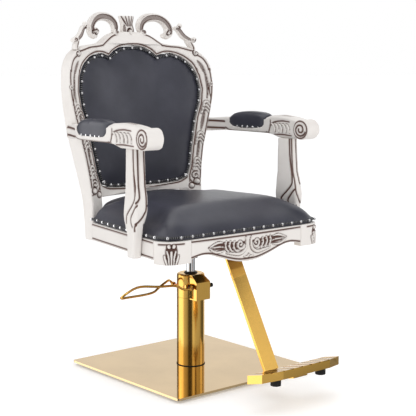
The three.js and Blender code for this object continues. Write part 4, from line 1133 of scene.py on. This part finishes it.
# %% Trim of the seat
SEAT_NAIL_OUT = 0.0040
seat_cord = cord_along("seat_gimp_cord", seat_line, CORD_R, False)
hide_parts("seat_nail_trim")
seat_spots = evenly(seat_line, SEAT_NAIL_PITCH, False)
middle = np.array([0, AXIS_Y, 0])
ways = []
for spot in seat_spots:
    step = seat_line[np.argsort(np.linalg.norm(seat_line - spot, axis=1))[:2]]
    run = step[1] - step[0]
    side = np.array([run[1], -run[0], 0])
    ways.append(side * np.sign(side @ (spot - middle) + TINY))
ways = np.array(ways) / (np.linalg.norm(ways, axis=1)[:, None] + 1e-12)
nails("seat_nails", seat_spots + ways * SEAT_NAIL_OUT, ways)

# %% Back cushion and outer panel
flat_trim = back_line[:, [0, 2]] / MM
flat_trim = np.vstack([flat_trim, flat_trim[:1]])
BACK_MESH = 0.006
TOP_Z, TOP_DEPTH = 1134, 339  # the back's face at the top of the cushion
CUSHION_HOLD, PANEL_HOLD = 12, 16  # how far from the nails the leather is held
REAR_HOLD = 8


def back_pin(mm):
    near, _ = measure(mm[:, [0, 2]], flat_trim)
    face = np.interp(mm[:, 2], [BACK_Z, TOP_Z], [BACK_DEPTH, TOP_DEPTH]) - BACK_BOW * mm[:, 0] ** 2
    return (near < CUSHION_HOLD) | (mm[:, 1] > face + REAR_HOLD)


def panel_pin(mm):
    near, _ = measure(mm[:, [0, 2]], flat_trim)
    return near < PANEL_HOLD


stuffed("back_cushion_leather", "back_cushion", BACK_MESH, back_pin, cap=0.017, pressure=8.0, ease=24)
stuffed("outer_back_leather", "back_outer_panel", BACK_MESH, panel_pin, cap=0.003, pressure=1.0, ease=24)

# %% [markdown]
# ## Arm pads
# Each pad is a small cushion let into the arm, with its gimp and a few nails along its lower edge.
# Its outline is read from its own mesh at the height of the nails.


# %% Arm pads
PAD_MESH = 0.004
OUTLINE_STEPS, OUTLINE_BAND = 40, 0.003
CORD_LEVEL, CORD_OUT = 0.8345, 0.0004
END_RISE, END_FROM, END_SPAN = 0.014, 0.062, 0.035  # the cord climbs round each end of a pad
PAD_NAIL_PITCH, PAD_NAIL_REACH = 0.0275, 0.092
PAD_NAIL_UP, PAD_NAIL_OUT = (0, 0, 0.004), 0.0022
MOSTLY_SIDEWAYS = (1.0, 0.15, 0)


def outline_at(piece, level):
    """A piece's outline at a height, and its centre."""
    co = points_of(piece.data)
    ring = co[np.abs(co[:, 2] - level) < OUTLINE_BAND]
    centre = ring.mean(0)
    angle = np.arctan2(ring[:, 0] - centre[0], ring[:, 1] - centre[1])
    edges = np.linspace(-math.pi, math.pi, OUTLINE_STEPS + 1)
    wedges = [(angle >= a) & (angle < b) for a, b in zip(edges, edges[1:])]
    line = np.array([ring[wedge].mean(0) for wedge in wedges if wedge.any()])
    line[:, 2] = level
    return line, centre


for side, _ in SIDES:
    pad = stuffed(f"arm_pad_leather_{side}", f"arm_pad_{side}", PAD_MESH, nailed_below(838),
                  cap=0.004, pressure=3.0, ease=4)
    line, centre = outline_at(pad, CORD_LEVEL)
    for i in range(len(line)):
        out = (line[i] - centre) * (1, 1, 0)
        line[i] += out / np.linalg.norm(out) * CORD_OUT
    line[:, 2] += END_RISE * np.clip((np.abs(line[:, 1] - centre[1]) - END_FROM) / END_SPAN, 0, 1) ** 1.5
    cord_along(f"arm_pad_cord_{side}", line, PAD_CORD_R, True)
    spots = evenly(line, PAD_NAIL_PITCH, True)
    spots = spots[np.abs(spots[:, 1] - centre[1]) < PAD_NAIL_REACH] + np.array(PAD_NAIL_UP)
    outs = (spots - centre) * np.array(MOSTLY_SIDEWAYS)
    outs /= np.linalg.norm(outs, axis=1)[:, None]
    nails(f"arm_pad_nails_{side}", spots + outs * PAD_NAIL_OUT, outs)

# %% [markdown]
# ## Metal pieces with eased edges
# A machined edge is never perfectly sharp, and it is the thin bright line along it that tells the
# eye how thick the metal is. Each plated piece is a merged copy of its CAD node, with its flat
# faces joined up and its sharp edges bevelled, then shaded smooth except at real corners.


# %% Eased copies
CORNER, ROD_CORNER, SHADOW_RING_CORNER = math.radians(18), math.radians(50), math.radians(33)
SHARP, FLAT = 0.6, 0.01  # radians


def eased(node, width):
    """A copy of a CAD node with its sharp edges bevelled by a width, in metres."""
    bm = merged(node)
    bmesh.ops.dissolve_limit(bm, angle_limit=FLAT, verts=bm.verts, edges=bm.edges)
    sharp = [e for e in bm.edges if len(e.link_faces) == 2 and e.calc_face_angle() > SHARP]
    if sharp and width:
        bmesh.ops.bevel(bm, geom=sharp, offset=width, segments=2, profile=0.5, affect="EDGES", material=-1,
                        clamp_overlap=True)
    name = "eased_" + node
    mesh = mesh_from(bm, name)
    mesh.materials.append(finishes[slot_of_node[node]])
    mesh.shade_smooth()
    mesh.set_sharp_from_angle(angle=CORNER if width else ROD_CORNER)
    piece = link(name, mesh)
    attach(piece, body_of_node[node])
    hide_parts(node)


# How wide each piece's eased edges are, in mm. The lever is a round rod and has none.
EASE = {"base_plate": 1.2, "pump_cylinder": 1.2, "pump_head": 2.0, "pump_housing": 1.5, "footrest_bar": 1.2,
        "footplate": 1.0, "pump_lever": 0.0, "pivot_pin": 0.5, "valve_stem": 0.4, "valve_cap": 1.2,
        "rod_gland": 0.8, "piston_rod": 0.5, "inner_cylinder": 0.5, "seat_socket": 1.0,
        "seat_mount_plate": 1.0, "lever_rocker": 0.5, "pump_plunger": 0.4, "piston_head": 0.5,
        "footplate_bumper_right": 1.5, "footplate_bumper_left": 1.5, "seat_board": 0.8}
for number in range(1, 5):
    EASE[f"base_foot_{number}"] = 1.5
    EASE[f"base_bolt_{number}"] = 0.4
    EASE[f"mount_bolt_{number}"] = 0.4
for node, width in EASE.items():
    eased(node, width * MM)
print("eased pieces:", len(EASE))

# %% [markdown]
# ## Painted shadow ring at the column's foot
# The column stands on the plate on a thin black ring, a painted shadow line where the two meet. It is
# small, but it is the line that parts the column from its own reflection in the polished plate.

# %% Painted shadow ring
SHADOW_RING_STAND, SHADOW_RING_DROP, SHADOW_RING_HEIGHT, SHADOW_RING_THICK = 0.0006, 0.0002, 0.0022, 0.0008
column_low, column_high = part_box("pump_cylinder")
column_r = (column_high.x - column_low.x) / 2
# a thin black ring round the column's foot, standing in for the shadow line there
bm = bmesh.new()
bmesh.ops.create_circle(bm, cap_ends=False, segments=64, radius=column_r + SHADOW_RING_STAND,
                        matrix=Matrix.Translation((0, AXIS_Y, column_low.z - SHADOW_RING_DROP)))
wall = bmesh.ops.extrude_edge_only(bm, edges=bm.edges[:])
rim = [v for v in wall["geom"] if isinstance(v, bmesh.types.BMVert)]
bmesh.ops.translate(bm, verts=rim, vec=(0, 0, SHADOW_RING_HEIGHT))
bmesh.ops.solidify(bm, geom=bm.faces[:], thickness=-SHADOW_RING_THICK)
bmesh.ops.recalc_face_normals(bm, faces=bm.faces)
shadow_ring_mesh = mesh_from(bm, "column_foot_shadow_ring")
shadow_ring_mesh.materials.append(finishes["rubber"])
shadow_ring_mesh.shade_smooth()
shadow_ring_mesh.set_sharp_from_angle(angle=SHADOW_RING_CORNER)
shadow_ring = link("column_foot_shadow_ring", shadow_ring_mesh)
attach(shadow_ring, "base")
print("shadow_ring", len(shadow_ring_mesh.polygons), "faces")
